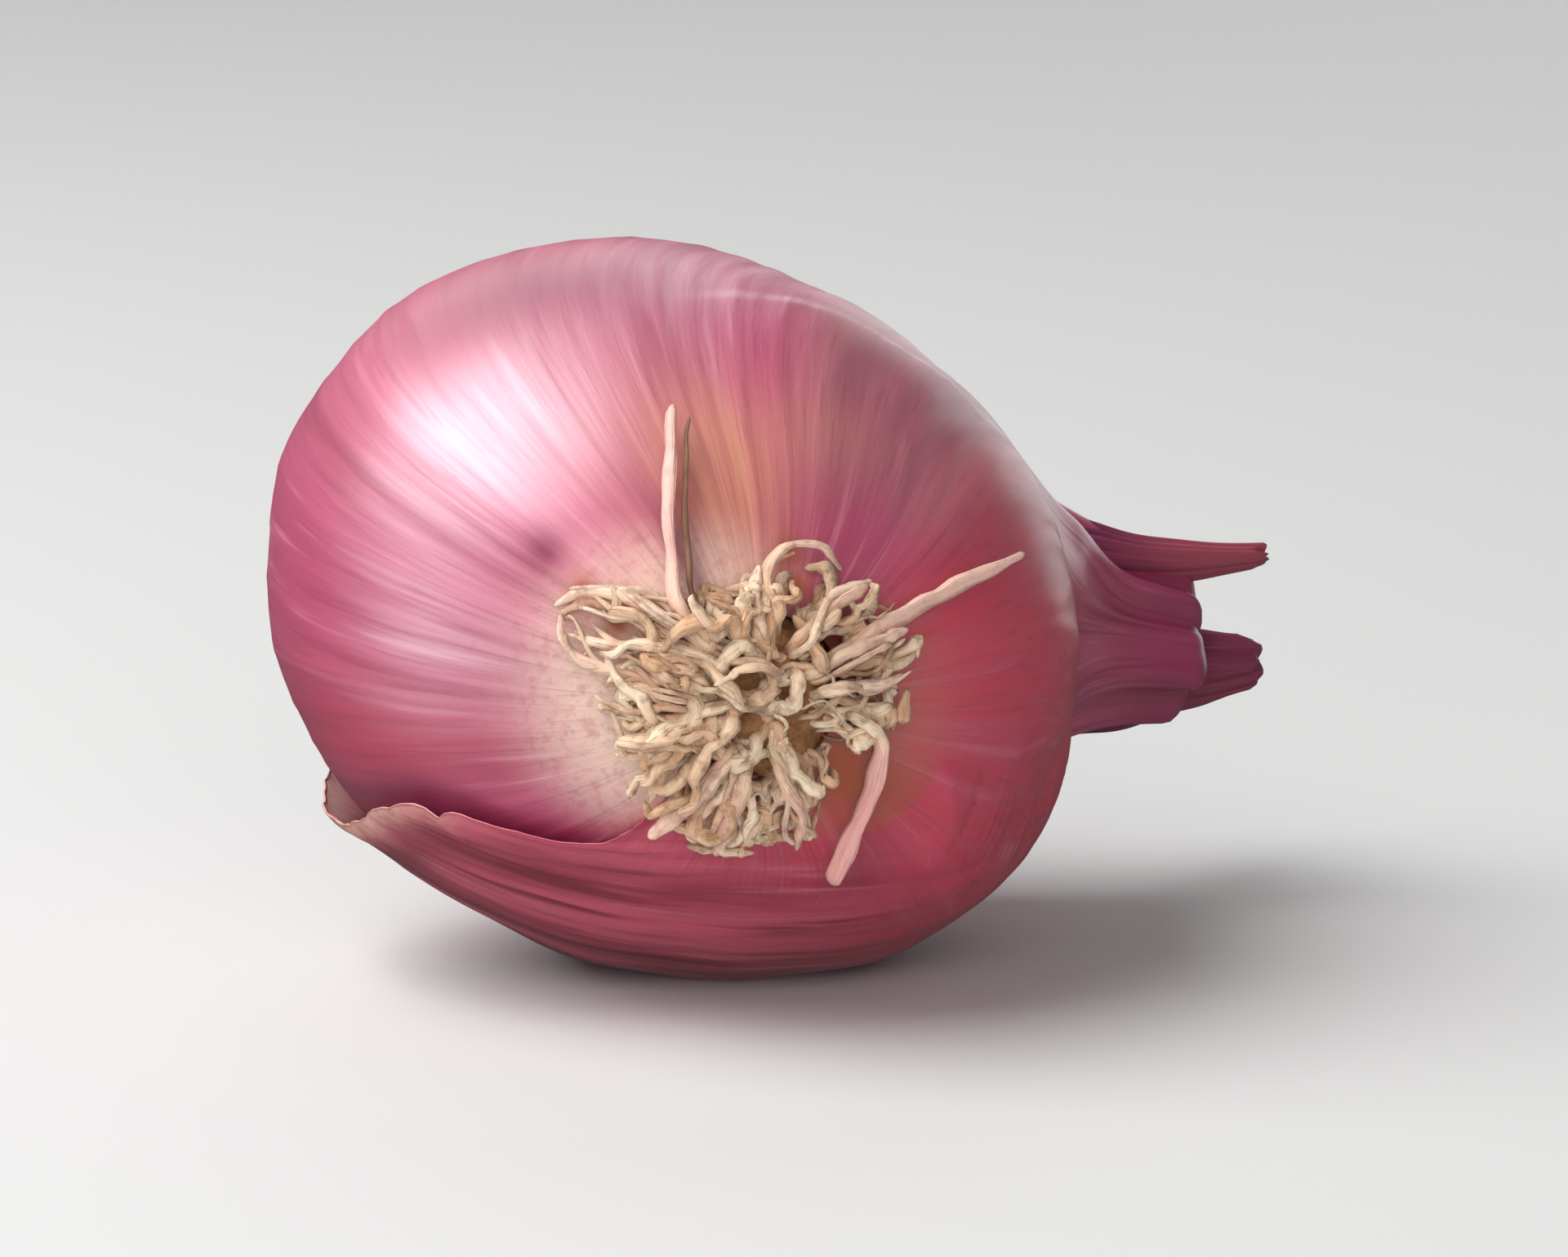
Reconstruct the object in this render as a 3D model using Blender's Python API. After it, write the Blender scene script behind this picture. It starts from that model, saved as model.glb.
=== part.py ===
"""A red shallot lying on its side: the bulb with its neck, the root tuft and the dry outer skin.

Metres, +Z up. The origin lies on the small flat spot that the shallot rests on. The basal plate
with the roots faces -Y, a little to the right, and the neck bends away to +X.
"""

import math
import random

import bmesh
import bpy
from mathutils import Quaternion, Vector

MM = 0.001

# Where the ends of the bulb point
ROOT_TURN = math.radians(18)     # the basal plate faces -Y, turned this far towards +X
ROOT_DIP = math.radians(6)       # and this far below level
NECK_TURN = math.radians(24)     # the neck points along +X, turned this far towards +Y
NECK_DIP = math.radians(12)      # and this far below level

# The middle line of the bulb, from the basal plate to the neck: straight, an arc, straight
BEND_START = 5.0 * MM
BEND_END = 46.0 * MM
PLATE_CENTRE = Vector((5.3, -18.8, 19.1)) * MM

# The body is a blunt egg: its middle and its six radii in the plate's frame (across, in, up)
EGG_MIDDLE = (1.0, 22.7, 0.35)
EGG_ACROSS = (21.7, 23.6)        # away from the neck's side, towards it
EGG_DEEP = (22.7, 23.6)          # towards the plate, away from it
EGG_HIGH = (19.7, 19.1)          # down, up
EGG_POWER = 2.07                 # above 2 it is blunter than an ellipsoid
LOW_SIDE = math.radians(-141)    # fuller by this share at this angle
LOW_SIDE_SWELL = 0.115
SHOULDER = math.radians(128)     # and flatter by this share at this one
SHOULDER_FLAT = 0.035

# The neck is a tapering pipe that runs smoothly into the body
NECK_AT = 49.0 * MM
NECK_RADIUS = 5.9 * MM
NECK_TAPER = 0.16                # lost per length
NECK_INSIDE = 16.0 * MM          # the pipe starts this far inside the body
NECK_FLARE = 10.5 * MM           # reach of the smooth transition
NECK_END = 57.4 * MM
NECK_CAP = 1.9 * MM              # length of the rounded end beyond that

# Rows of faces follow the middle line, closer together at the root end
WIDEST_AT = 20.5 * MM
ROOT_END_POWER = 2.25

# Relief of the skin
RIBS = 13
RIB_HEIGHT = 0.10 * MM
PLEATS = 6
PLEAT_SHARE = 0.13               # of the neck's radius
PLEATS_FROM = 31.0 * MM
PLEATS_TO = 50.6 * MM

# A fold runs along the front of the neck, between a thin upper ridge and a round lower one
FOLD_AT = math.radians(136)
FOLD_SHARE = 0.46                # of the radius
FOLD_NARROW = 6.5                # higher is narrower
FOLD_FROM = 47.5 * MM
FOLD_TO = 54.5 * MM

# The seat of the basal plate in the root end
SEAT_RADIUS = 4.7 * MM
SEAT_DEPTH = 1.6 * MM
GAP = 0.32 * MM                  # between two pieces that touch on the real shallot

# Rows of faces: 0 is the root end, 1 the widest place, 2 the neck, 3 the neck's end
AROUND = 54
ROWS_TO_WIDEST = 10
ROWS_TO_NECK = 14
ROWS_ON_NECK = 6

# The dried leaf tips on the neck: start (length, angle, share of the radius), bend and end point in
# millimetres, width and thickness at the start and at the end
LEAF_TIPS = [
    ((44.0, 75, 0.50), (25.6, 22.6, 19.0), (34.3, 27.5, 19.1), (5.2, 3.6), (1.3, 0.9)),
    ((44.0, -110, 0.40), (27.0, 23.5, 12.8), (33.6, 27.7, 12.8), (7.0, 5.8), (3.4, 2.0)),
    ((44.5, 10, 0.40), (25.5, 28.3, 12.6), (31.0, 33.4, 11.4), (5.6, 2.6), (2.0, 1.1)),
]
LEAF_SIDES = 10
LEAF_ROWS = 8

# The dry outer skin, from its free left edge round the underside to its right edge
SKIN_THICK = 0.62 * MM
SKIN_FIRST_ROW = 0.245
SKIN_LAST_ROW = 1.80
SKIN_LEFT_EDGE = -36             # degrees
SKIN_RIGHT_EDGE = -179
LIP_ROW = 0.92                   # where the left edge lifts, in rows
LIP_WIDTH = 0.20
LIP_LIFT = 0.6 * MM

# The settled underside
SAG = 0.40 * MM
SAG_CENTRE = Vector((-2.0, 2.2, 0)) * MM
SAG_REACH = 11.0 * MM

# The root tuft
PLATE_RADIUS = 4.35 * MM
PLATE_SIDES = 20
ROOTS = 54
ROOT_WIDTH = 1.0 * MM
ROOT_TIP_SHARE = 0.85            # of the width at the start
ROOT_STEPS = 8
SEED = 17

# The long roots: angle of the start on the plate, width, and places in millimetres that they pass
LONG_ROOTS = [
    (135, 1.0, [(1.2, -20.9, 23.6), (-0.1, -20.5, 26.0), (-0.3, -18.9, 30.2), (-0.5, -16.2, 34.4)]),
    (25, 1.0, [(9.2, -20.0, 21.4), (13.0, -17.0, 23.3), (16.0, -14.3, 24.6), (19.6, -11.6, 25.7)]),
    (-15, 1.4, [(10.6, -19.4, 18.0), (11.9, -17.9, 16.2), (11.4, -17.2, 13.6), (9.3, -15.2, 8.6)]),
    (165, 1.1, [(0.8, -21.0, 22.6), (-1.6, -21.0, 23.2), (-3.8, -20.4, 23.9), (-5.7, -19.6, 24.6)]),
]
LONG_STEPS = 12


def direction(turn_from, turn_to, turn, dip):
    """A unit vector that starts at turn_from, turns towards turn_to and dips below level."""
    level = turn_from * math.cos(turn) + turn_to * math.sin(turn)
    return level * math.cos(dip) - Vector((0, 0, 1)) * math.sin(dip)


ROOT_OUT = direction(Vector((0, -1, 0)), Vector((1, 0, 0)), ROOT_TURN, ROOT_DIP)
NECK_OUT = direction(Vector((1, 0, 0)), Vector((0, 1, 0)), NECK_TURN, NECK_DIP)
IN = -ROOT_OUT
ACROSS = (NECK_OUT - IN * NECK_OUT.dot(IN)).normalized()
UP = ACROSS.cross(IN)
BEND = IN.angle(NECK_OUT)


def spine(s):
    """The point on the middle line at length s, its direction and the side away from the bend."""
    curvature = BEND / (BEND_END - BEND_START)
    on_arc = min(max(s, BEND_START), BEND_END) - BEND_START
    angle = curvature * on_arc
    point = PLATE_CENTRE + IN * (min(s, BEND_START) + math.sin(angle) / curvature)
    point += ACROSS * ((1 - math.cos(angle)) / curvature)
    along = IN * math.cos(angle) + ACROSS * math.sin(angle)
    point += along * max(s - BEND_END, 0)
    outer = IN * math.sin(angle) - ACROSS * math.cos(angle)
    return point, along, outer


NECK_BASE, _, _ = spine(NECK_AT)


def smooth(x):
    x = min(max(x, 0.0), 1.0)
    return x * x * (3 - 2 * x)


def length_at(row):
    """The length along the middle line of a row."""
    if row <= 1:
        return WIDEST_AT * (1 - math.cos(row * math.pi / 2) ** (2 / ROOT_END_POWER))
    if row <= 2:
        return WIDEST_AT + (NECK_AT - WIDEST_AT) * (row - 1)
    return NECK_AT + (NECK_END - NECK_AT) * (row - 2)


def egg_distance(point):
    """How far a point lies outside the body, measured towards the body's middle."""
    offset = (point - PLATE_CENTRE) / MM
    across = offset.dot(ACROSS) - EGG_MIDDLE[0]
    deep = offset.dot(IN) - EGG_MIDDLE[1]
    high = offset.dot(UP) - EGG_MIDDLE[2]
    length = math.sqrt(across * across + deep * deep + high * high)
    if length < 0.1:
        return -EGG_DEEP[0] * MM
    share = (abs(across) / EGG_ACROSS[across > 0]) ** EGG_POWER
    share += (abs(deep) / EGG_DEEP[deep > 0]) ** EGG_POWER
    share += (abs(high) / EGG_HIGH[high > 0]) ** EGG_POWER
    edge = length / share ** (1 / EGG_POWER)
    angle = math.atan2(high, -across)
    side = (across * across + high * high) / (length * length)
    swell = LOW_SIDE_SWELL * math.exp(4.5 * (math.cos(angle - LOW_SIDE) - 1))
    swell -= SHOULDER_FLAT * math.exp(5.0 * (math.cos(angle - SHOULDER) - 1))
    return (length - edge * (1 + side * swell)) * MM


def neck_distance(point):
    offset = point - NECK_BASE
    on_axis = max(offset.dot(NECK_OUT), -NECK_INSIDE)
    return (offset - NECK_OUT * on_axis).length - NECK_RADIUS + NECK_TAPER * on_axis


def distance(point):
    """How far a point lies outside the bulb: the body and the neck run smoothly into each other."""
    body = egg_distance(point)
    neck = neck_distance(point)
    share = min(max(0.5 + 0.5 * (neck - body) / NECK_FLARE, 0), 1)
    return body * share + neck * (1 - share) - NECK_FLARE * share * (1 - share)


def reach(s, v):
    """The distance from the middle line to the bulb's surface at length s and angle v, before relief."""
    start, _, outer = spine(s)
    side = outer * math.cos(v) + UP * math.sin(v)
    length = 0
    for _ in range(60):
        step = distance(start + side * length)
        length = max(length - 0.9 * step, 0)
        if abs(step) < 0.0005 * MM:
            break
    return length


def relief(s, v):
    """Shallow ribs on the body, and pleats that deepen along the neck."""
    body = math.sin(math.pi * min(max(s / NECK_AT, 0), 1))
    rib = RIB_HEIGHT * body * math.sin(RIBS * v + 1.3 * math.sin(3 * v))
    depth = PLEAT_SHARE * smooth((s - PLEATS_FROM) / (PLEATS_TO - PLEATS_FROM)) * NECK_RADIUS
    pleat = depth * (0.6 * math.sin(PLEATS * v + 0.7) + 0.4 * math.sin((PLEATS + 3) * v + 2.1))
    return rib + pleat


def bulb_point(s, v):
    point, _, outer = spine(s)
    fold = FOLD_SHARE * smooth((s - FOLD_FROM) / (FOLD_TO - FOLD_FROM))
    fold *= math.exp(FOLD_NARROW * (math.cos(v - FOLD_AT) - 1))
    length = reach(s, v) * (1 - fold) + relief(s, v)
    return point + (outer * math.cos(v) + UP * math.sin(v)) * length


def outward(point):
    """The bulb's outward normal at a point, the relief left out."""
    step = 0.05 * MM
    slope = []
    for axis in (Vector((step, 0, 0)), Vector((0, step, 0)), Vector((0, 0, step))):
        slope.append(distance(point + axis) - distance(point - axis))
    return Vector(slope).normalized()


def rest_on(point, height):
    """The same point, not lower than the height: near the floor the underside has settled."""
    reach = (Vector((point.x, point.y, 0)) - SAG_CENTRE).length
    sag = SAG * smooth(1.5 - 1.5 * reach / SAG_REACH) * smooth(1.4 - (point.z - height) / (3 * MM))
    return Vector((point.x, point.y, max(point.z - sag, height)))


def material(name, colour, roughness):
    made = bpy.data.materials.new(name)
    made.use_nodes = True
    shader = made.node_tree.nodes["Principled BSDF"]
    shader.inputs["Base Color"].default_value = (*colour, 1)
    shader.inputs["Roughness"].default_value = roughness
    shader.inputs["Metallic"].default_value = 0
    made.diffuse_color = (*colour, 1)
    return made


def add_object(name, points, faces, surface, origin=Vector((0, 0, 0))):
    """A mesh object whose own origin lies at the given place."""
    mesh = bpy.data.meshes.new(name)
    mesh.from_pydata([tuple(point - origin) for point in points], [], faces)
    made = bpy.data.objects.new(name, mesh)
    made.location = origin
    bpy.context.scene.collection.objects.link(made)
    shape = bmesh.new()
    shape.from_mesh(mesh)
    bmesh.ops.recalc_face_normals(shape, faces=shape.faces)
    shape.to_mesh(mesh)
    shape.free()
    mesh.materials.append(surface)
    for face in mesh.polygons:
        face.use_smooth = True
    return made


def rings_to_faces(rings, around):
    """Four-sided faces between rings of points, the first point of a ring at ring * around."""
    faces = []
    for ring in range(rings - 1):
        for i in range(around):
            after = (i + 1) % around
            low, high = ring * around, (ring + 1) * around
            faces.append((low + i, low + after, high + after, high + i))
    return faces


def closed_tube(rings, first_cap, last_cap):
    """Points and faces of a tube of rings with a middle point at each end."""
    around = len(rings[0])
    points = [point for ring in rings for point in ring]
    faces = rings_to_faces(len(rings), around)
    last = (len(rings) - 1) * around
    points += [first_cap, last_cap]
    for i in range(around):
        after = (i + 1) % around
        faces.append((after, i, len(points) - 2))
        faces.append((last + i, last + after, len(points) - 1))
    return points, faces


def unite(target, others, name):
    """Fuse the other objects into the target by one Boolean union on a collection."""
    group = bpy.data.collections.new(name)
    for other in others:
        group.objects.link(other)
        bpy.context.scene.collection.objects.unlink(other)
    bpy.context.scene.collection.children.link(group)
    union = target.modifiers.new("union", "BOOLEAN")
    union.operation = "UNION"
    union.operand_type = "COLLECTION"
    union.collection = group
    union.solver = "EXACT"
    bpy.context.view_layer.objects.active = target
    bpy.ops.object.modifier_apply(modifier=union.name)
    for other in others:
        bpy.data.objects.remove(other, do_unlink=True)
    bpy.data.collections.remove(group)
    for face in target.data.polygons:
        face.use_smooth = True


def rim_length(v):
    """The length at which the root end is as wide as the seat."""
    low, high = 0.0, 3.0 * MM
    for _ in range(30):
        middle = (low + high) / 2
        if reach(middle, v) < SEAT_RADIUS:
            low = middle
        else:
            high = middle
    return high


def build_bulb(surface):
    angles = [2 * math.pi * i / AROUND for i in range(AROUND)]
    first = 0.113
    rows = [first + (1 - first) * i / ROWS_TO_WIDEST for i in range(ROWS_TO_WIDEST)]
    rows += [1 + i / ROWS_TO_NECK for i in range(ROWS_TO_NECK)]
    rows += [2 + i / ROWS_ON_NECK for i in range(ROWS_ON_NECK + 1)]
    rings = []
    seat = []
    for v in angles:
        _, _, outer = spine(0)
        side = outer * math.cos(v) + UP * math.sin(v)
        seat.append(PLATE_CENTRE + IN * SEAT_DEPTH + side * (SEAT_RADIUS - 0.2 * MM))
    rings.append(seat)
    for row in rows:
        ring = []
        for v in angles:
            s = rim_length(v) if row == first else length_at(row)
            ring.append(rest_on(bulb_point(s, v), SKIN_THICK + GAP))
        rings.append(ring)
    end, along, _ = spine(NECK_END)
    for share in (0.45, 0.85):
        narrow = math.sqrt(1 - share * share)
        ring = [end + (point - end) * narrow + along * NECK_CAP * share for point in rings[len(rows)]]
        rings.append(ring)
    points, faces = closed_tube(rings, PLATE_CENTRE + IN * SEAT_DEPTH, end + along * NECK_CAP)
    bulb = add_object("bulb", points, faces, surface)
    tips = []
    for number, (start, bend, tip, size, tip_size) in enumerate(LEAF_TIPS):
        tips.append(leaf_tip("tip_%d" % number, start, bend, tip, size, tip_size, surface))
    unite(bulb, tips, "tips")
    return bulb


def leaf_tip(name, start, bend, tip, size, tip_size, surface):
    """A dried leaf end: a flattened tapering tube along a bent line."""
    s, v, share = start[0] * MM, math.radians(start[1]), start[2]
    point, _, outer = spine(s)
    p0 = point + (outer * math.cos(v) + UP * math.sin(v)) * reach(s, v) * share
    p1, p2 = Vector(bend) * MM, Vector(tip) * MM
    rings = []
    for row in range(LEAF_ROWS + 1):
        t = row / LEAF_ROWS
        centre = p0 * (1 - t) ** 2 + p1 * 2 * t * (1 - t) + p2 * t * t
        along = ((p1 - p0) * (1 - t) + (p2 - p1) * t).normalized()
        wide = along.cross(Vector((0, -1, 0.18))).normalized()
        deep = along.cross(wide)
        half_wide = (size[0] + (tip_size[0] - size[0]) * t) * MM / 2
        half_deep = (size[1] + (tip_size[1] - size[1]) * t) * MM / 2
        ring = []
        for i in range(LEAF_SIDES):
            a = 2 * math.pi * i / LEAF_SIDES + 0.5 * t
            crease = 1 - 0.16 * math.cos(3 * a + s * 900)
            ring.append(centre + (wide * math.cos(a) * half_wide + deep * math.sin(a) * half_deep) * crease)
        rings.append(ring)
    last = (p2 - p1).normalized() * 0.5 * tip_size[1] * MM
    points, faces = closed_tube(rings, p0, p2 + last)
    return add_object(name, points, faces, surface)


def skin_edges(row):
    """The angles of the outer skin's left and right edges at a row, in degrees."""
    left = SKIN_LEFT_EDGE + 2.2 * math.sin(5.3 * row + 0.4) + 1.2 * math.sin(13 * row)
    left -= 26 * smooth((0.46 - row) / 0.22) + 24 * smooth((row - 1.35) / 0.55)
    right = SKIN_RIGHT_EDGE + 1.6 * math.sin(6.1 * row + 2.0) + 0.8 * math.sin(17 * row)
    right -= 8 * smooth((row - 1.1) / 0.6)
    return left, right


def build_outer_skin(surface):
    """A sheet that follows the bulb's underside one gap away, closed all round its edge."""
    rows = [SKIN_FIRST_ROW + (1 - SKIN_FIRST_ROW) * i / 8 for i in range(8)]
    rows += [1 + (SKIN_LAST_ROW - 1) * i / 12 for i in range(13)]
    columns = 32
    inner, outer = [], []
    for row in rows:
        left, right = skin_edges(row)
        for column in range(columns + 1):
            share = column / columns
            v = math.radians(left + (right - left) * share)
            base = bulb_point(length_at(row), v)
            normal = outward(base)
            lift = LIP_LIFT * math.exp(-((row - LIP_ROW) / LIP_WIDTH) ** 2) * smooth(1 - share * 12) ** 1.5
            lift += 0.2 * MM * smooth(1 - share * 20)
            inner.append(rest_on(base + normal * (GAP + lift), SKIN_THICK))
            outer.append(rest_on(base + normal * (GAP + lift + SKIN_THICK), 0))
    wide = columns + 1
    count = len(inner)
    faces = []
    for row in range(len(rows) - 1):
        for column in range(columns):
            a = row * wide + column
            quad = (a, a + 1, a + wide + 1, a + wide)
            faces.append(quad)
            faces.append(tuple(count + i for i in reversed(quad)))
    rim = [column for column in range(wide)]
    rim += [row * wide + columns for row in range(1, len(rows))]
    rim += [(len(rows) - 1) * wide + column for column in range(columns - 1, -1, -1)]
    rim += [row * wide for row in range(len(rows) - 2, 0, -1)]
    for here, after in zip(rim, rim[1:] + rim[:1]):
        faces.append((here, after, count + after, count + here))
    skin = add_object("outer_skin", inner + outer, faces, surface)
    join_flat_spot(skin)
    return skin


def join_flat_spot(skin):
    """Make the level faces that the shallot rests on into one face."""
    shape = bmesh.new()
    shape.from_mesh(skin.data)
    level = [face for face in shape.faces if max(abs(corner.co.z) for corner in face.verts) < 0.00001 * MM]
    bmesh.ops.dissolve_faces(shape, faces=level, use_verts=True)
    shape.to_mesh(skin.data)
    shape.free()
    for face in skin.data.polygons:
        face.use_smooth = True


def clear_of_bulb(point, half_width):
    """Move a point outward until a root there clears the bulb and the outer skin."""
    away = (point - PLATE_CENTRE - IN * (point - PLATE_CENTRE).dot(IN)).length
    need = GAP + half_width + (SKIN_THICK + 1.5 * GAP) * smooth((away - 5.0 * MM) / (1.4 * MM))
    if away > PLATE_RADIUS - 0.3 * MM:
        for _ in range(4):
            short = need - distance(point)
            if short > 0:
                point = point + outward(point) * short
    return point


def root_line(rng, start, heading, last_heading, length, curl, width):
    """The middle line of a root: it turns from one heading to the other and curls on the way."""
    points = [start]
    step = length / ROOT_STEPS
    axis = Vector((rng.uniform(-1, 1), rng.uniform(-1, 1), rng.uniform(-1, 1))).normalized()
    phase = rng.uniform(0, 2 * math.pi)
    for i in range(ROOT_STEPS):
        t = (i + 0.5) / ROOT_STEPS
        along = (heading * (1 - t) + last_heading * t).normalized()
        swing = curl * smooth(t * 4) * math.sin(phase + 5.2 * t)
        along = Quaternion(axis, swing) @ along
        if i == 0:
            along = heading
        points.append(clear_of_bulb(points[-1] + along * step, width / 2))
    return points


def line_through(places, steps):
    """Points on a smooth line through the places."""
    ends = [2 * places[0] - places[1]] + places + [2 * places[-1] - places[-2]]
    points = []
    for i in range(steps + 1):
        at = min(i / steps, 0.999999) * (len(places) - 1)
        first = int(at)
        f = at - first
        p0, p1, p2, p3 = ends[first:first + 4]
        point = 2 * p1 + (p2 - p0) * f + (2 * p0 - 5 * p1 + 4 * p2 - p3) * f * f
        point += (3 * p1 - p0 - 3 * p2 + p3) * f ** 3
        points.append(point / 2)
    return points


def root_tube(name, points, width, surface):
    rings = []
    side = None
    for i, point in enumerate(points):
        before = points[max(i - 1, 0)]
        after = points[min(i + 1, len(points) - 1)]
        along = (after - before).normalized()
        if side is None:
            side = along.orthogonal().normalized()
        side = (side - along * side.dot(along)).normalized()
        other = along.cross(side)
        t = i / (len(points) - 1)
        half = width * (1 + (ROOT_TIP_SHARE - 1) * t) / 2
        ring = []
        for corner in range(4):
            a = math.pi / 2 * corner
            ring.append(point + (side * math.cos(a) + other * math.sin(a)) * half)
        rings.append(ring)
    corners, faces = closed_tube(rings, points[0], points[-1] + along * 0.25 * MM)
    return add_object(name, corners, faces, surface, points[0])


def build_root_tuft(surface):
    rng = random.Random(SEED)
    right = Vector((0, 0, 1)).cross(IN).normalized() * -1
    up = ROOT_OUT.cross(right)
    profile = [(1.28, 4.05), (0.3, PLATE_RADIUS / MM), (-0.55, 4.2), (-1.15, 3.0), (-1.5, 1.4)]
    rings = []
    for depth, reach in profile:
        ring = []
        for i in range(PLATE_SIDES):
            a = 2 * math.pi * i / PLATE_SIDES
            ring.append(PLATE_CENTRE + IN * depth * MM + (right * math.cos(a) + up * math.sin(a)) * reach * MM)
        rings.append(ring)
    points, faces = closed_tube(rings, PLATE_CENTRE + IN * 1.28 * MM, PLATE_CENTRE - IN * 1.6 * MM)
    tuft = add_object("root_tuft", points, faces, surface, PLATE_CENTRE)
    roots = []
    golden = math.pi * (3 - math.sqrt(5))
    for i in range(ROOTS):
        share = math.sqrt((i + 0.6) / ROOTS)
        a = i * golden + rng.uniform(-0.2, 0.2)
        side = right * math.cos(a) + up * math.sin(a)
        twist = -right * math.sin(a) + up * math.cos(a)
        start = PLATE_CENTRE + side * share * 3.7 * MM + ROOT_OUT * (0.7 - 0.45 * share) * MM
        tilt = math.radians(16 + 62 * share ** 1.5 + rng.uniform(-9, 9))
        heading = ROOT_OUT * math.cos(tilt) + side * math.sin(tilt)
        turn = rng.uniform(-1.5, 1.5)
        last = side * math.cos(turn) + twist * math.sin(turn) - ROOT_OUT * rng.uniform(0.0, 0.7)
        length = rng.uniform(6.0, 9.2) * MM * (0.88 + 0.20 * share)
        curl = rng.uniform(0.5, 1.5)
        line = root_line(rng, start, heading, last.normalized(), length, curl, ROOT_WIDTH)
        roots.append(root_tube("root_%d" % i, line, ROOT_WIDTH, surface))
    for i, (degrees, width, places) in enumerate(LONG_ROOTS):
        a = math.radians(degrees)
        start = PLATE_CENTRE + (right * math.cos(a) + up * math.sin(a)) * 2.6 * MM + ROOT_OUT * 0.5 * MM
        line = line_through([start] + [Vector(place) * MM for place in places], LONG_STEPS)
        line = [clear_of_bulb(point, width * MM / 2) for point in line]
        roots.append(root_tube("long_root_%d" % i, line, width * MM, surface))
    unite(tuft, roots, "roots")
    return tuft


def main():
    for item in list(bpy.data.objects):
        bpy.data.objects.remove(item, do_unlink=True)
    skin = material("bulb_skin", (0.52, 0.13, 0.22), 0.32)
    dry = material("dry_skin", (0.40, 0.06, 0.10), 0.45)
    straw = material("root_straw", (0.62, 0.47, 0.27), 0.80)
    pieces = [build_bulb(skin), build_outer_skin(dry), build_root_tuft(straw)]
    whole = bpy.data.objects.new("shallot", None)
    whole.empty_display_size = 0.02
    bpy.context.scene.collection.objects.link(whole)
    for piece in pieces:
        piece.parent = whole


main()
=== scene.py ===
"""A red shallot lying on its side: its skin, dry outer skin, neck and roots, with light, floor and camera."""

import math

import bpy
import numpy as np
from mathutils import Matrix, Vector


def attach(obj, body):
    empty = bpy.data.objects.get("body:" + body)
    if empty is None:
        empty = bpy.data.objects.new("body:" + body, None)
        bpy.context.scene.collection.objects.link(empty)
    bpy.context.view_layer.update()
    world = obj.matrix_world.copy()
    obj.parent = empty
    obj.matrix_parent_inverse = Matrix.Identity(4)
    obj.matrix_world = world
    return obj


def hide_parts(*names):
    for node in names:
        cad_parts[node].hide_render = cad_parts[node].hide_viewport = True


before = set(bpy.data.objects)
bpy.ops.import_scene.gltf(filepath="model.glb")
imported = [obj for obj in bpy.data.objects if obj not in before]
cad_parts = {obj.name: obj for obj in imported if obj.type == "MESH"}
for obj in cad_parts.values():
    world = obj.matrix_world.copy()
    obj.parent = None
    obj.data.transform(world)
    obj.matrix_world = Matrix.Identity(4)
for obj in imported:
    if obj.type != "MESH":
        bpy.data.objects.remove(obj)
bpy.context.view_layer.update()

# Shape of the bulb, in millimetres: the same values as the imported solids
ROOT_TURN, ROOT_DIP = math.radians(18), math.radians(6)
NECK_TURN, NECK_DIP = math.radians(24), math.radians(12)
BEND_START, BEND_END = 5.0, 46.0
PLATE_CENTRE = np.array((5.3, -18.8, 19.1))
EGG_MIDDLE = np.array((1.0, 22.7, 0.35))
EGG_LOW = np.array((21.7, 22.7, 19.7))
EGG_HIGH = np.array((23.6, 23.6, 19.1))
EGG_POWER = 2.07
LOW_SIDE, LOW_SIDE_SWELL = math.radians(-141), 0.115
SHOULDER, SHOULDER_FLAT = math.radians(128), 0.035
NECK_AT, NECK_RADIUS, NECK_TAPER, NECK_INSIDE = 49.0, 5.9, 0.16, 16.0
NECK_FLARE, NECK_END, NECK_CAP = 10.5, 57.4, 1.9
WIDEST_AT, ROOT_END_POWER = 20.5, 2.25
RIBS, RIB_HEIGHT = 13, 0.10
PLEATS, PLEAT_SHARE, PLEATS_FROM, PLEATS_TO = 6, 0.13, 31.0, 50.6
FOLD_AT, FOLD_SHARE, FOLD_NARROW, FOLD_FROM, FOLD_TO = math.radians(136), 0.46, 6.5, 47.5, 54.5
SEAT_RADIUS, SEAT_DEPTH = 4.7, 1.6
FIRST_ROW = 0.113
GAP, SKIN_THICK = 0.32, 0.62
SAG, SAG_CENTRE, SAG_REACH = 0.40, np.array((-2.0, 2.2)), 11.0


def turned(start, towards, turn, dip):
    """A level direction turned towards another and then dipped."""
    level = np.array(start) * math.cos(turn) + np.array(towards) * math.sin(turn)
    return level * math.cos(dip) - np.array((0, 0, 1.0)) * math.sin(dip)


def unit(vectors):
    return vectors / np.linalg.norm(vectors, axis=-1, keepdims=True)


ROOT_OUT = turned((0, -1.0, 0), (1.0, 0, 0), ROOT_TURN, ROOT_DIP)
NECK_OUT = turned((1.0, 0, 0), (0, 1.0, 0), NECK_TURN, NECK_DIP)
IN = -ROOT_OUT
ACROSS = unit(NECK_OUT - IN * NECK_OUT.dot(IN))
UP = np.cross(ACROSS, IN)
AXES = np.stack([ACROSS, IN, UP], axis=1)
BEND = math.acos(IN.dot(NECK_OUT))
PLATE_RIGHT = -unit(np.cross((0, 0, 1.0), IN))
PLATE_UP = np.cross(ROOT_OUT, PLATE_RIGHT)


def smooth(x):
    x = np.clip(x, 0.0, 1.0)
    return x * x * (3 - 2 * x)


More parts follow.
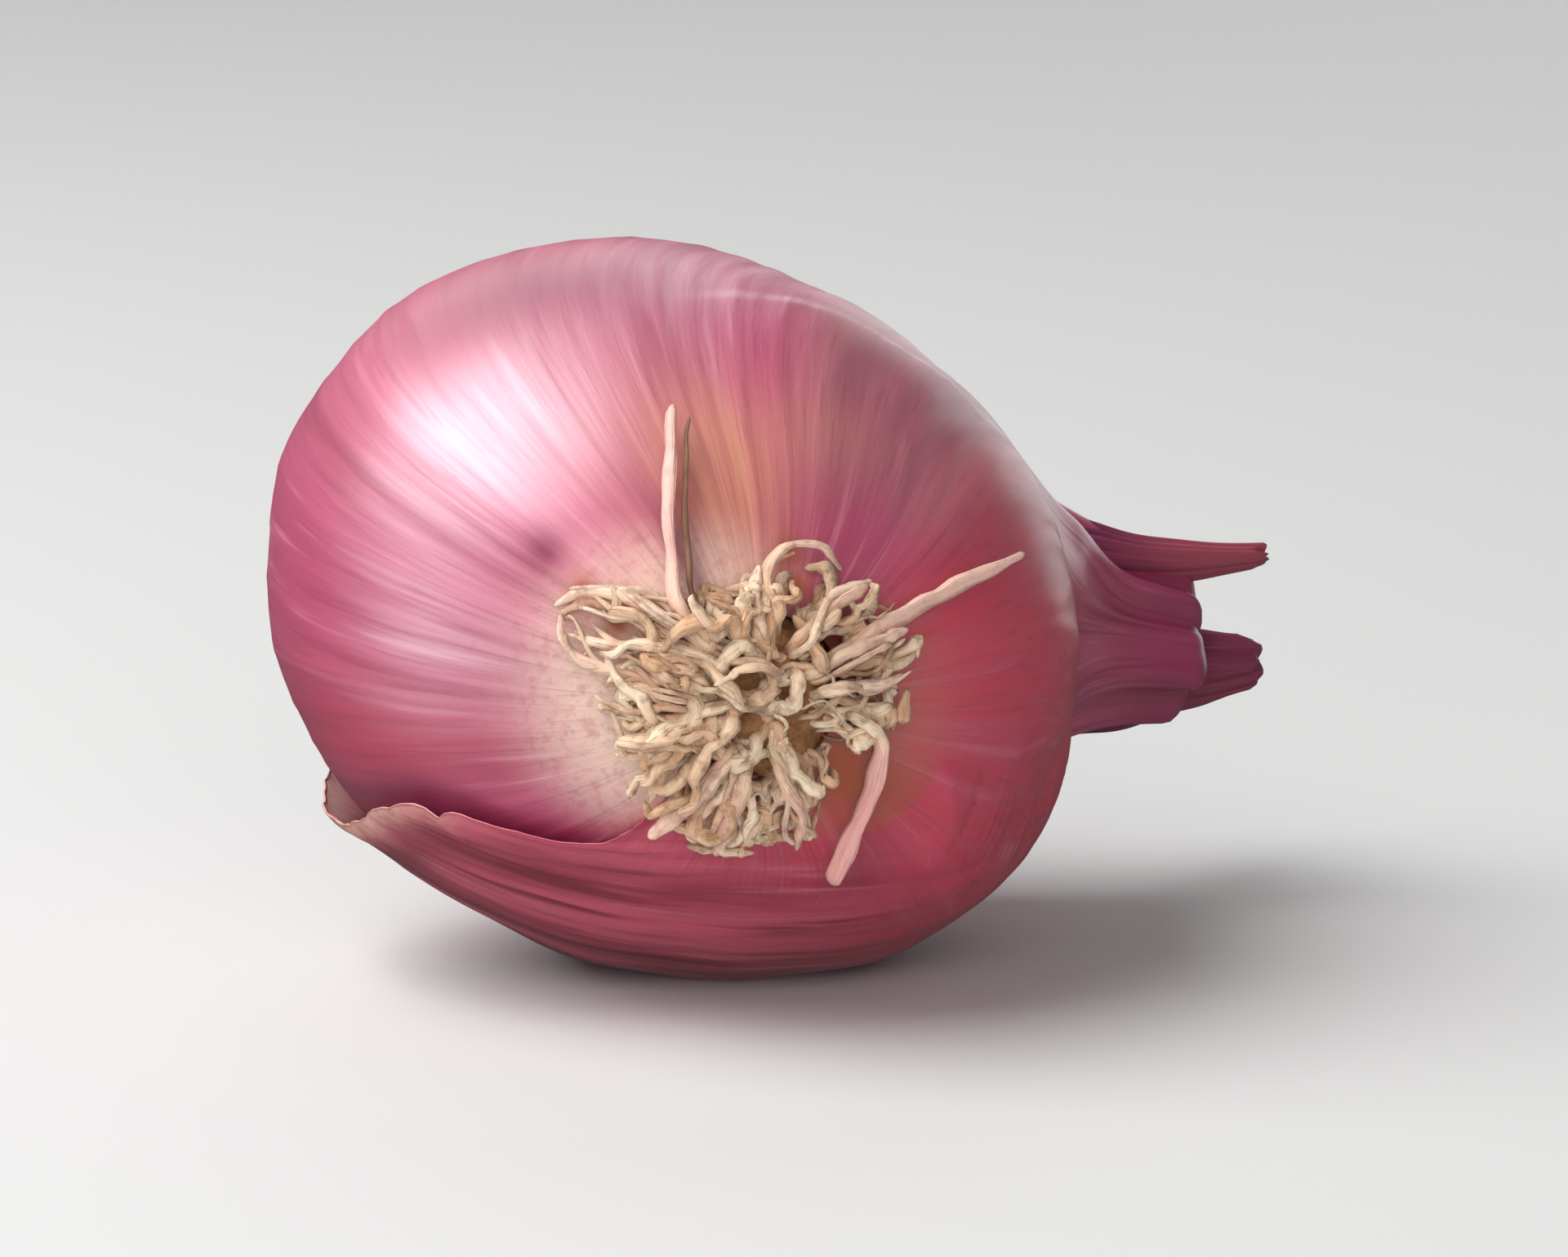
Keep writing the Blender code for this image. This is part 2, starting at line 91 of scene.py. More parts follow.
def spine(s):
    """Points on the bulb's middle line at lengths s, its direction and the side away from the bend."""
    s = np.asarray(s, float)[..., None]
    curvature = BEND / (BEND_END - BEND_START)
    angle = curvature * (np.clip(s, BEND_START, BEND_END) - BEND_START)
    point = PLATE_CENTRE + IN * (np.minimum(s, BEND_START) + np.sin(angle) / curvature)
    point = point + ACROSS * ((1 - np.cos(angle)) / curvature)
    along = IN * np.cos(angle) + ACROSS * np.sin(angle)
    point = point + along * np.maximum(s - BEND_END, 0)
    return point, along, IN * np.sin(angle) - ACROSS * np.cos(angle)


NECK_BASE = spine(NECK_AT)[0]


def length_at(row):
    """Length along the middle line: row 0 is the root end, 1 the widest place, 2 the neck, 3 its end."""
    row = np.asarray(row, float)
    first = WIDEST_AT * (1 - np.cos(np.minimum(row, 1) * math.pi / 2) ** (2 / ROOT_END_POWER))
    first = first + (NECK_AT - WIDEST_AT) * np.clip(row - 1, 0, 1)
    return first + (NECK_END - NECK_AT) * np.maximum(row - 2, 0)


def row_at(s):
    """The row of a length along the middle line."""
    first = np.arccos(np.clip(1 - s / WIDEST_AT, 0, 1) ** (ROOT_END_POWER / 2)) * 2 / math.pi
    return first + np.maximum(s - WIDEST_AT, 0) / (NECK_AT - WIDEST_AT)


def distance(point):
    """How far points lie outside the bulb: a blunt egg that runs smoothly into a tapering neck."""
    local = (point - PLATE_CENTRE) @ AXES - EGG_MIDDLE
    length = np.maximum(np.linalg.norm(local, axis=-1), 0.1)
    share = ((np.abs(local) / np.where(local > 0, EGG_HIGH, EGG_LOW)) ** EGG_POWER).sum(-1)
    edge = length / np.maximum(share, 1e-12) ** (1 / EGG_POWER)
    angle = np.arctan2(local[..., 2], -local[..., 0])
    side = (local[..., 0] ** 2 + local[..., 2] ** 2) / length ** 2
    swell = LOW_SIDE_SWELL * np.exp(4.5 * (np.cos(angle - LOW_SIDE) - 1))
    swell = swell - SHOULDER_FLAT * np.exp(5.0 * (np.cos(angle - SHOULDER) - 1))
    body = length - edge * (1 + side * swell)
    offset = point - NECK_BASE
    on_axis = np.maximum(offset @ NECK_OUT, -NECK_INSIDE)
    neck = np.linalg.norm(offset - on_axis[..., None] * NECK_OUT, axis=-1)
    neck = neck - NECK_RADIUS + NECK_TAPER * on_axis
    share = np.clip(0.5 + 0.5 * (neck - body) / NECK_FLARE, 0, 1)
    return body * share + neck * (1 - share) - NECK_FLARE * share * (1 - share)


def side_at(s, v):
    """The direction away from the middle line at an angle round it."""
    _, _, outer = spine(s)
    return outer * np.cos(v)[..., None] + UP * np.sin(v)[..., None]


def reach(s, v):
    """Distance from the middle line to the bulb's surface, before relief."""
    s, v = np.broadcast_arrays(s, v)
    start, side = spine(s)[0], side_at(s, v)
    length = np.zeros(s.shape)
    for _ in range(60):
        step = distance(start + side * length[..., None])
        length = np.maximum(length - 0.9 * step, 0)
        if np.abs(step).max() < 0.0005:
            break
    return length


def outward(point):
    """The direction straight out of the bulb at a point."""
    step = 0.05
    slope = [distance(point + axis * step) - distance(point - axis * step) for axis in np.eye(3)]
    return unit(np.stack(slope, axis=-1))


def relief(s, v):
    """Height of the ribs on the body and of the pleats on the neck."""
    body = np.sin(math.pi * np.clip(s / NECK_AT, 0, 1))
    rib = RIB_HEIGHT * body * np.sin(RIBS * v + 1.3 * np.sin(3 * v))
    depth = PLEAT_SHARE * smooth((s - PLEATS_FROM) / (PLEATS_TO - PLEATS_FROM)) * NECK_RADIUS
    pleat = depth * (0.6 * np.sin(PLEATS * v + 0.7) + 0.4 * np.sin((PLEATS + 3) * v + 2.1))
    return rib + pleat


def bulb_point(s, v):
    """Points on the bulb, with its ribs, its pleats and the fold in its neck."""
    s, v = np.broadcast_arrays(s, v)
    fold = FOLD_SHARE * smooth((s - FOLD_FROM) / (FOLD_TO - FOLD_FROM))
    fold = fold * np.exp(FOLD_NARROW * (np.cos(v - FOLD_AT) - 1))
    return spine(s)[0] + side_at(s, v) * (reach(s, v) * (1 - fold) + relief(s, v))[..., None]


def rest_on(point, height):
    """The same points, not lower than the height: near the floor the underside has settled."""
    away = np.linalg.norm(point[..., :2] - SAG_CENTRE, axis=-1)
    sag = SAG * smooth(1.5 - 1.5 * away / SAG_REACH) * smooth(1.4 - (point[..., 2] - height) / 3)
    settled = point.copy()
    settled[..., 2] = np.maximum(point[..., 2] - sag, height)
    return settled


def rim_length(v):
    """The length along the middle line where the bulb is as wide as the seat of the basal plate."""
    low, high = np.zeros(v.shape), np.full(v.shape, 3.0)
    for _ in range(30):
        middle = (low + high) / 2
        inside = reach(middle, v) < SEAT_RADIUS
        low, high = np.where(inside, middle, low), np.where(inside, high, middle)
    return high


def veins(rng, count, s, v, height):
    """Fine raised lines that run from the root end to the neck."""
    body = np.sin(math.pi * np.clip(s / NECK_AT, 0, 1)) ** 0.5
    total = np.zeros(np.broadcast(s, v).shape)
    for k in range(count):
        at = 2 * math.pi * (k + rng.uniform(-0.4, 0.4)) / count
        wander = rng.uniform(0.01, 0.05) * np.sin(s / rng.uniform(5, 11) + rng.uniform(0, 6.3))
        off = (v - at - wander + math.pi) % (2 * math.pi) - math.pi
        total += height * rng.uniform(0.4, 1.2) * np.exp(-(off * 20 / rng.uniform(0.25, 0.5)) ** 2)
    return total * body


def waves(rng, points, size, height):
    """A soft uneven swell, the same for the same seed."""
    total = np.zeros(points.shape[:-1])
    for _ in range(9):
        heading = unit(rng.normal(size=3)) / (size * rng.uniform(0.6, 1.6))
        total += np.sin(points @ heading * 2 * math.pi + rng.uniform(0, 6.3))
    return total * height / 3


# Meshes and materials

def add_mesh(name, points, faces, material, slot, **attributes):
    """A smooth mesh object from points in millimetres. Each attribute is one number or three a point."""
    mesh = bpy.data.meshes.new(name)
    mesh.from_pydata((points * 0.001).tolist(), [], faces)
    for key, values in attributes.items():
        values = np.asarray(values, np.float32)
        kind = "FLOAT_VECTOR" if values.ndim == 2 else "FLOAT"
        made = mesh.attributes.new(key, kind, "POINT")
        made.data.foreach_set("vector" if values.ndim == 2 else "value", values.ravel())
    mesh.polygons.foreach_set("use_smooth", np.ones(len(mesh.polygons), bool))
    mesh.materials.append(material)
    piece = bpy.data.objects.new(name, mesh)
    bpy.context.scene.collection.objects.link(piece)
    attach(piece, "root")
    return piece


def grid_faces(rows, columns, closed, start=0):
    faces = []
    for row in range(rows - 1):
        for column in range(columns if closed else columns - 1):
            after = (column + 1) % columns
            low, high = start + row * columns, start + (row + 1) * columns
            faces.append((low + column, low + after, high + after, high + column))
    return faces


def tube_faces(rings, around, start=0):
    """Faces of closed rings, with a middle point for the first end and one for the last after them."""
    faces = grid_faces(rings, around, True, start)
    middle = start + rings * around
    last = middle - around
    for here in range(around):
        after = (here + 1) % around
        faces.append((start + after, start + here, middle))
        faces.append((last + here, last + after, middle + 1))
    return faces


class Nodes:
    """Short names for the shader nodes that the materials use."""

    def __init__(self, name):
        self.material = bpy.data.materials.new(name)
        self.material.use_nodes = True
        self.tree = self.material.node_tree
        self.shader = self.tree.nodes["Principled BSDF"]

    def put(self, socket, value):
        if isinstance(value, bpy.types.NodeSocket):
            self.tree.links.new(value, socket)
        elif isinstance(value, tuple) and len(value) == 3 and socket.type == "RGBA":
            socket.default_value = (*value, 1)
        else:
            socket.default_value = value

    def set(self, **values):
        for key, value in values.items():
            self.put(self.shader.inputs[key.replace("_", " ")], value)

    def field(self, name):
        made = self.tree.nodes.new("ShaderNodeAttribute")
        made.attribute_type = "GEOMETRY"
        made.attribute_name = name
        return made

    def value(self, name):
        return self.field(name).outputs["Fac"]

    def vector(self, name, stretch):
        made = self.tree.nodes.new("ShaderNodeVectorMath")
        made.operation = "MULTIPLY"
        self.put(made.inputs[0], self.field(name).outputs["Vector"])
        made.inputs[1].default_value = stretch
        return made.outputs[0]

    def noise(self, vector, scale, detail=2.0, rough=0.5, distort=0.0):
        made = self.tree.nodes.new("ShaderNodeTexNoise")
        self.put(made.inputs["Vector"], vector)
        made.inputs["Scale"].default_value = scale
        made.inputs["Detail"].default_value = detail
        made.inputs["Roughness"].default_value = rough
        made.inputs["Distortion"].default_value = distort
        return made.outputs["Fac"]

    def span(self, value, low, high, to_low=0.0, to_high=1.0):
        made = self.tree.nodes.new("ShaderNodeMapRange")
        made.interpolation_type = "SMOOTHSTEP"
        self.put(made.inputs["Value"], value)
        made.inputs["From Min"].default_value = low
        made.inputs["From Max"].default_value = high
        made.inputs["To Min"].default_value = to_low
        made.inputs["To Max"].default_value = to_high
        return made.outputs["Result"]

    def maths(self, operation, a, b):
        made = self.tree.nodes.new("ShaderNodeMath")
        made.operation = operation
        self.put(made.inputs[0], a)
        self.put(made.inputs[1], b)
        return made.outputs[0]

    def times(self, a, b):
        return self.maths("MULTIPLY", a, b)

    def mix(self, share, a, b):
        made = self.tree.nodes.new("ShaderNodeMix")
        made.data_type = "RGBA"
        self.put(made.inputs[0], share)
        self.put(made.inputs[6], a)
        self.put(made.inputs[7], b)
        return made.outputs[2]

    def bump(self, height, strength, depth):
        made = self.tree.nodes.new("ShaderNodeBump")
        made.inputs["Strength"].default_value = strength
        made.inputs["Distance"].default_value = depth
        self.put(made.inputs["Height"], height)
        return made.outputs["Normal"]


def streaks(n, field):
    """Streaks that run along the bulb, broad and fine, and the streaked skin colour."""
    broad = n.noise(n.vector(field, (3.2, 3.2, 0.035)), 1.0, 3.0, 0.55, 0.3)
    fine = n.noise(n.vector(field, (15.0, 15.0, 0.07)), 1.0, 3.0, 0.6, 0.2)
    colour = n.mix(n.span(broad, 0.35, 0.68), (0.56, 0.100, 0.200), (0.40, 0.045, 0.120))
    colour = n.mix(n.span(fine, 0.52, 0.74, 0, 0.70), colour, (0.28, 0.016, 0.070))
    return broad, fine, n.mix(n.span(fine, 0.46, 0.28, 0, 0.50), colour, (0.76, 0.27, 0.37))


RED_SKIN = (0.64, 0.050, 0.085)
HAIR_LINE = (0.27, 0.02, 0.07)
COAT_ROUGHNESS, SKIN_SPECULAR, SKIN_IOR = 0.30, 0.8, 1.6


def bulb_skin_material():
    n = Nodes("bulb_skin_fine")
    broad, fine, colour = streaks(n, "grain")
    hair = n.noise(n.vector("grain", (46.0, 46.0, 0.22)), 1.0, 2.0, 0.6)
    speck = n.noise(n.vector("spot", (1.0, 1.0, 1.0)), 1.6, 4.0, 0.65)
    film = n.mix(n.span(broad, 0.40, 0.62), (0.52, 0.175, 0.210), (0.41, 0.115, 0.165))
    # Each layer's mask, how strongly it covers along the streaks, and its colour
    layers = (
        ("film", n.span(fine, 0.25, 0.60, 0.70, 0.95), film),
        ("red", n.span(fine, 0.28, 0.62, 0.50, 0.88), RED_SKIN),
        ("tan", n.span(fine, 0.30, 0.65, 0.95, 0.65), (0.66, 0.27, 0.165)),
        ("cream", n.span(speck, 0.30, 0.55, 0.62, 1.0), (0.90, 0.68, 0.54)),
        # paler skin and painted highlight
        ("pale_and_highlight", n.span(fine, 0.66, 0.36, 0.26, 0.66), (0.78, 0.49, 0.57)),
        # darker marks with painted shade and painted shadows
        ("dark_and_shade", 0.9, (0.23, 0.020, 0.072)),
        ("rust", 1.0, (0.44, 0.105, 0.036)),
    )
    for mask, strength, layer in layers:
        colour = n.mix(n.times(n.value(mask), strength), colour, layer)
    colour = n.mix(n.span(hair, 0.52, 0.72, 0, 0.24), colour, HAIR_LINE)
    colour = n.mix(n.span(speck, 0.62, 0.75, 0, 0.25), colour, (0.30, 0.03, 0.09))
    height = n.maths("ADD", n.times(fine, 0.6), n.times(hair, 0.4))
    n.set(Base_Color=colour, Roughness=n.span(broad, 0.3, 0.7, 0.43, 0.51))
    n.set(Normal=n.bump(height, 0.5, 0.00012), Coat_Weight=0.36, Coat_Roughness=COAT_ROUGHNESS)
    n.set(Specular_IOR_Level=SKIN_SPECULAR, IOR=SKIN_IOR)
    return n.material


def dry_skin_material():
    n = Nodes("dry_skin_fine")
    broad = n.noise(n.vector("grain", (5.0, 5.0, 0.03)), 1.0, 3.0, 0.55, 0.2)
    fine = n.noise(n.vector("grain", (24.0, 24.0, 0.05)), 1.0, 3.0, 0.6, 0.2)
    speck = n.noise(n.vector("spot", (1.0, 1.0, 1.0)), 1.2, 4.0, 0.6)
    colour = n.mix(n.span(broad, 0.36, 0.64), (0.58, 0.085, 0.145), (0.30, 0.020, 0.058))
    colour = n.mix(n.span(fine, 0.48, 0.68, 0, 0.85), colour, (0.17, 0.008, 0.026))
    colour = n.mix(n.span(fine, 0.44, 0.26, 0, 0.6), colour, (0.66, 0.22, 0.25))
    # rim: the pale lip along the free edge, partly a paler torn edge and partly painted light where the lip
    # catches the light
    rim = n.times(n.value("rim"), n.span(speck, 0.3, 0.6, 0.55, 1.0))
    colour = n.mix(rim, colour, (0.74, 0.40, 0.32))
    colour = n.mix(n.times(n.value("shade"), 0.8), colour, (0.22, 0.018, 0.04))
    _, along, below = streaks(n, "along")
    hair = n.noise(n.vector("along", (46.0, 46.0, 0.22)), 1.0, 2.0, 0.6)
    below = n.mix(n.span(along, 0.28, 0.62, 0.50, 0.88), below, RED_SKIN)
    below = n.mix(n.span(hair, 0.52, 0.72, 0, 0.24), below, HAIR_LINE)
    colour = n.mix(n.value("blend"), colour, below)
    n.set(Base_Color=colour, Roughness=n.span(broad, 0.3, 0.7, 0.43, 0.51))
    n.set(Normal=n.bump(fine, 0.5, 0.00015), Coat_Weight=0.35, Coat_Roughness=COAT_ROUGHNESS)
    n.set(Specular_IOR_Level=SKIN_SPECULAR, IOR=SKIN_IOR)
    return n.material


def root_material():
    n = Nodes("root_straw_fine")
    mottle = n.noise(n.vector("grain", (0.9, 0.9, 0.9)), 1.0, 4.0, 0.6)
    lines = n.noise(n.vector("turn", (2.2, 2.2, 0.5)), 1.0, 3.0, 0.6)
    colour = n.mix(n.value("tone"), (0.75, 0.45, 0.27), (1.0, 0.80, 0.58))
    colour = n.mix(n.span(mottle, 0.46, 0.70, 0, 0.75), colour, (0.30, 0.155, 0.065))
    colour = n.mix(n.span(lines, 0.50, 0.72, 0, 0.45), colour, (0.26, 0.13, 0.055))
    # deep: painted shade in the tuft
    colour = n.mix(n.value("deep"), colour, (0.21, 0.078, 0.036))
    colour = n.mix(n.value("blush"), colour, (0.84, 0.42, 0.38))
    n.set(Base_Color=colour, Roughness=0.75, Normal=n.bump(lines, 0.9, 0.00022))
    n.set(Sheen_Weight=0.12, Sheen_Roughness=0.5)
    return n.material


def plate_material():
    n = Nodes("basal_plate_fine")
    mottle = n.noise(n.vector("grain", (1.4, 1.4, 1.4)), 1.0, 5.0, 0.65)
    colour = n.mix(n.span(mottle, 0.35, 0.7), (0.34, 0.155, 0.065), (0.16, 0.075, 0.03))
    n.set(Base_Color=colour, Roughness=0.85, Normal=n.bump(mottle, 0.7, 0.0003))
    return n.material


def neck_leaf_material():
    n = Nodes("neck_leaf_fine")
    broad = n.noise(n.vector("grain", (2.4, 2.4, 0.06)), 1.0, 3.0, 0.55)
    fine = n.noise(n.vector("grain", (9.0, 9.0, 0.15)), 1.0, 3.0, 0.6)
    # Purple, darkened as painted shade over the neck
    colour = n.mix(n.span(broad, 0.35, 0.66), (0.24, 0.035, 0.085), (0.14, 0.018, 0.065))
    colour = n.mix(n.span(fine, 0.5, 0.72, 0, 0.75), colour, (0.075, 0.006, 0.03))
    # pale: paler towards the tips, with painted light on the upper leaf
    colour = n.mix(n.value("pale"), colour, (0.42, 0.080, 0.100))
    n.set(Base_Color=colour, Roughness=0.5, Normal=n.bump(fine, 0.6, 0.0002))
    n.set(Coat_Weight=0.1, Coat_Roughness=0.35)
    return n.material


def floor_material():
    n = Nodes("floor_pale")
    made = n.tree.nodes.new("ShaderNodeTexCoord")
    cloud = n.noise(made.outputs["Object"], 3.0, 2.0)
    n.set(Base_Color=n.mix(cloud, (0.64, 0.64, 0.635), (0.66, 0.66, 0.655)), Roughness=0.7)
    return n.material


# Small dark gaps between the roots: places on the basal plate's plane, to the right and up from its middle
HOLES = (
    (-7.6, 4.0), (-5.3, 0.4), (-1.2, -0.9), (-0.3, -3.7), (-3.1, -3.7), (2.2, 5.9), (1.9, 7.7),
    (-1.4, 1.7), (-9.2, 5.6), (3.6, 2.8), (0.9, 3.6), (-4.2, 3.9),
)


def on_plate(point):
    """Places on the basal plate's plane, to the right and up from its middle."""
    return (point - PLATE_CENTRE) @ PLATE_RIGHT, (point - PLATE_CENTRE) @ PLATE_UP


def near_holes(point, size):
    """1 at the middle of a gap, fading to 0 away from it."""
    right, up = on_plate(point)
    away = [((right - x) ** 2 + (up - y) ** 2) / size ** 2 for x, y in HOLES]
    return np.exp(-np.min(away, axis=0)) * ((point - PLATE_CENTRE) @ IN < 12)


# The bulb

# Soft patches of colour: strength, length and angle in degrees of the middle, half length, half angle
TAN_PATCHES = ((1.2, 4.2, 69, 4.0, 21), (0.35, 7.2, 101, 2.6, 12), (0.6, 0.3, 178, 1.6, 60))
# Paler lilac skin, mostly painted highlight: a painted reflection down the front left, a whiter patch beside
# the highlight and a painted rim light along the top
PALE_AND_HIGHLIGHT_PATCHES = ((0.9, 7.2, -6, 2.6, 17), (1.1, 8.8, 28, 2.9, 22), (0.7, 16.0, 68, 6.0, 13))
FILM_PATCHES = ((0.15, 8.0, -26, 5.0, 14), (0.80, 16.5, 46, 5.0, 28))
RED_PATCHES = ((0.7, 13.0, -28, 7.0, 10),)
# Darker skin: a small fleck, a darker spot beside the tan patch, a darker band at the top left, painted shade
# on the lower left and a painted shadow beside the long upright root
DARK_AND_SHADE_PATCHES = (
    (1.0, 5.1, 22, 0.7, 5), (0.25, 4.8, 53, 1.8, 9), (0.85, 15.2, 49, 3.2, 20), (0.55, 15.5, -26, 6.0, 14),
    (0.7, 2.4, 50, 2.2, 4.5),
)
RUST_PATCHES = ((1.0, 0.4, -150, 1.6, 17),)
# The pale line where an outer layer ends, partly a paler torn edge and partly painted light where the edge
# catches the light: its angle at lengths along the bulb, and its half width
LAYER_LINE = ((14, 18.5, 27, 36, 44.6), (72, 92, 124, 131, 136))
LAYER_LINE_WIDE = 2.4
LEFT_SIDE = math.radians(-12)
BULB_COLUMNS, SEAT_ROWS, CAP_ROWS = 320, (1.0, 0.6, 0.3), (0.25, 0.45, 0.65, 0.85, 0.97)


def patches(s, v, places):
    """The sum of soft patches at lengths s and angles v."""
    total = 0
    for strength, at_length, at_angle, half_length, half_angle in places:
        off = (np.degrees(v) - at_angle + 180) % 360 - 180
        total = total + strength * np.exp(-((s - at_length) / half_length) ** 2 - (off / half_angle) ** 2)
    return total


def between(x, low, low_width, high, high_width):
    """1 between low and high, with a soft start after low and a soft end before high."""
    return smooth((x - low) / low_width) * smooth((high - x) / high_width)


def bulb_masks(s, v, cloud):
    """Where each colour of the skin lies, from 0 to 1 a point."""
    left_side = (1 + np.cos(v - LEFT_SIDE)) / 2
    cream = smooth(1.15 - s / (1.8 + 4.0 * left_side ** 2.4)) * smooth(1.6 * left_side - 0.25)
    turn = np.degrees(v) % 360
    line = np.exp(-((turn - np.interp(s, *LAYER_LINE)) / LAYER_LINE_WIDE) ** 2)
    # Paler skin with painted highlight and painted reflection round the highlight, and the pale layer line,
    # partly painted light on its edge
    pale_and_highlight = patches(s, v, PALE_AND_HIGHLIGHT_PATCHES) + 1.2 * line * between(s, 13, 5, 47, 5)
    film = between(turn, 84, 20, 176, 22) * between(s, 2.2, 4, 38, 14) + patches(s, v, FILM_PATCHES)
    red = between(turn, 120, 36, 306, 34) * between(s, -1.2, 2, 50, 8) + patches(s, v, RED_PATCHES)
    under = np.degrees(v) - 360 * (v > math.pi) - sheet_edges(row_at(s))[0]
    shadow = np.where(under < 0, 1, np.exp(-(np.maximum(under, 0) / 3.4) ** 1.5)) * (under > -40)
    # Darker skin, mostly painted shade: painted shade over the neck end, the patches above, and a painted
    # shadow line above the free edge of the dry outer skin
    dark_and_shade = smooth((s - 49) / 8) * 0.88 + patches(s, v, DARK_AND_SHADE_PATCHES) + 0.9 * shadow * between(s, 4, 4, 26, 6)
    rust = patches(s, v, RUST_PATCHES) + near_holes(cloud, 0.75) * (s < 8)
    tan = patches(s, v, TAN_PATCHES)
    masks = dict(cream=cream, tan=tan, pale_and_highlight=pale_and_highlight, film=film, red=red, dark_and_shade=dark_and_shade, rust=rust)
    return {name: np.clip(mask, 0, 1) for name, mask in masks.items()}


def build_bulb():
    rng = np.random.default_rng(11)
    around = np.linspace(0, 2 * math.pi, BULB_COLUMNS, endpoint=False)
    rows = [np.linspace(FIRST_ROW, 1, 108), np.linspace(1, 2, 104)[1:], np.linspace(2, 3, 44)[1:]]
    rows = np.concatenate(rows)
    share = smooth((rows - FIRST_ROW) / 0.09)[:, None]
    s = rim_length(around) * (1 - share) + length_at(rows)[:, None] * share
    v = np.broadcast_to(around, s.shape)
    points = bulb_point(s, v)
    fine = veins(rng, 58, s, v, 0.075) + waves(rng, points, 9.0, 0.05)
    points = rest_on(points + outward(points) * fine[..., None], SKIN_THICK + GAP)
    side = side_at(np.zeros(BULB_COLUMNS), around)
    seat = [PLATE_CENTRE + IN * SEAT_DEPTH * part + side * (SEAT_RADIUS - 0.25 * part) for part in SEAT_ROWS]
    end, along, _ = spine(NECK_END)
    cap = [end + (points[-1] - end) * math.sqrt(1 - part ** 2) + along * NECK_CAP * part for part in CAP_ROWS]
    rings = np.concatenate([seat, points, cap])
    middles = [PLATE_CENTRE + IN * SEAT_DEPTH, end + along * NECK_CAP]
    cloud = np.concatenate([rings.reshape(-1, 3), middles])
    s = np.concatenate([np.repeat(s[:1], len(seat), axis=0), s, np.repeat(s[-1:], len(cap), axis=0)])
    v = np.append(np.broadcast_to(around, s.shape), (0, 0))
    s = np.append(s, (0, NECK_END))
    piece = add_mesh(
        "bulb_skin", cloud, tube_faces(len(rings), BULB_COLUMNS), bulb_skin_material(), "bulb_skin",
        grain=np.stack([np.cos(v), np.sin(v), s], axis=1), spot=cloud, **bulb_masks(s, v, cloud),
    )
    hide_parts("bulb")


# The dried leaf ends on the neck: start (length, angle, share of the radius), bend, tip, width and depth at
# the start and at the tip

LEAF_ROWS, LEAF_SIDES = 60, 56
# How pale each leaf grows towards its tip: the upper leaf is paler as painted light, the lower lobe less pale
# as painted shade
LEAF_PALE = (0.6, 0.2, 0.3)
LEAVES = [
    ((44.0, 75, 0.50), (25.6, 22.6, 19.0), (34.3, 27.5, 19.1), (5.2, 3.6), (1.3, 0.9)),
    ((44.0, -110, 0.40), (27.0, 23.5, 12.8), (33.6, 27.7, 12.8), (7.0, 5.8), (3.4, 2.0)),
    ((44.5, 10, 0.40), (25.5, 28.3, 12.6), (31.0, 33.4, 11.4), (5.6, 2.6), (2.0, 1.1)),
]


def build_leaf(number, start, bend, tip, size, tip_size, material):
    rng = np.random.default_rng(60 + number)
    s, v = np.array(start[0]), np.array(math.radians(start[1]))
    p0 = spine(s)[0] + side_at(s, v) * reach(s, v) * start[2]
    p1, p2 = np.array(bend), np.array(tip)
    rings, along_at = [], []
    a = np.linspace(0, 2 * math.pi, LEAF_SIDES, endpoint=False)
    phases = rng.uniform(0, 6.3, 4)
    for t in np.linspace(0, 1, LEAF_ROWS):
        centre = p0 * (1 - t) ** 2 + p1 * 2 * t * (1 - t) + p2 * t * t
        along = unit((p1 - p0) * (1 - t) + (p2 - p1) * t)
        wide = unit(np.cross(along, (0, -1, 0.18)))
        deep = np.cross(along, wide)
        half_wide = (size[0] + (tip_size[0] - size[0]) * t) / 2
        half_deep = (size[1] + (tip_size[1] - size[1]) * t) / 2
        turn = a + 0.5 * t
        crease = 1 - 0.16 * np.cos(3 * turn + s * 0.9)
        crease = crease + 0.05 * np.sin(9 * a + phases[0] + 1.2 * t)
        crease = crease + 0.035 * np.sin(17 * a + phases[1] - 2 * t)
        crease = crease * (1 + 0.05 * math.sin(7 * t + phases[2]) + 0.03 * math.sin(19 * t + phases[3]))
        ring = wide * np.cos(turn)[:, None] * half_wide + deep * np.sin(turn)[:, None] * half_deep
        torn = (0.40 * np.sin(3 * a + phases[2]) + 0.28 * np.sin(8 * a + phases[3])) * smooth((t - 0.8) / 0.2)
        rings.append(centre + ring * crease[:, None] + along * torn[:, None])
        along_at.append(np.full(LEAF_SIDES, t))
    last = unit(p2 - p1) * 0.5 * tip_size[1]
    for share in (0.5, 0.8, 0.95):
        rings.append(p2 + (rings[LEAF_ROWS - 1] - p2) * math.sqrt(1 - share * share) + last * share)
        along_at.append(np.full(LEAF_SIDES, 1.0))
    cloud = np.concatenate([*rings, [p0, p2 + last]])
    faces = tube_faces(len(rings), LEAF_SIDES)
    along_all = np.append(np.concatenate(along_at), (0, 1))
    angle = np.append(np.tile(a, len(rings)), (0, 0))
    grain = np.stack([np.cos(angle), np.sin(angle), along_all * 14 + number * 9], axis=1)
    pale = smooth((along_all - 0.35) / 0.5) * LEAF_PALE[number]
    add_mesh("neck_leaf_%d" % number, cloud, faces, material, "bulb_skin", grain=grain, pale=pale)


# The dry outer skin

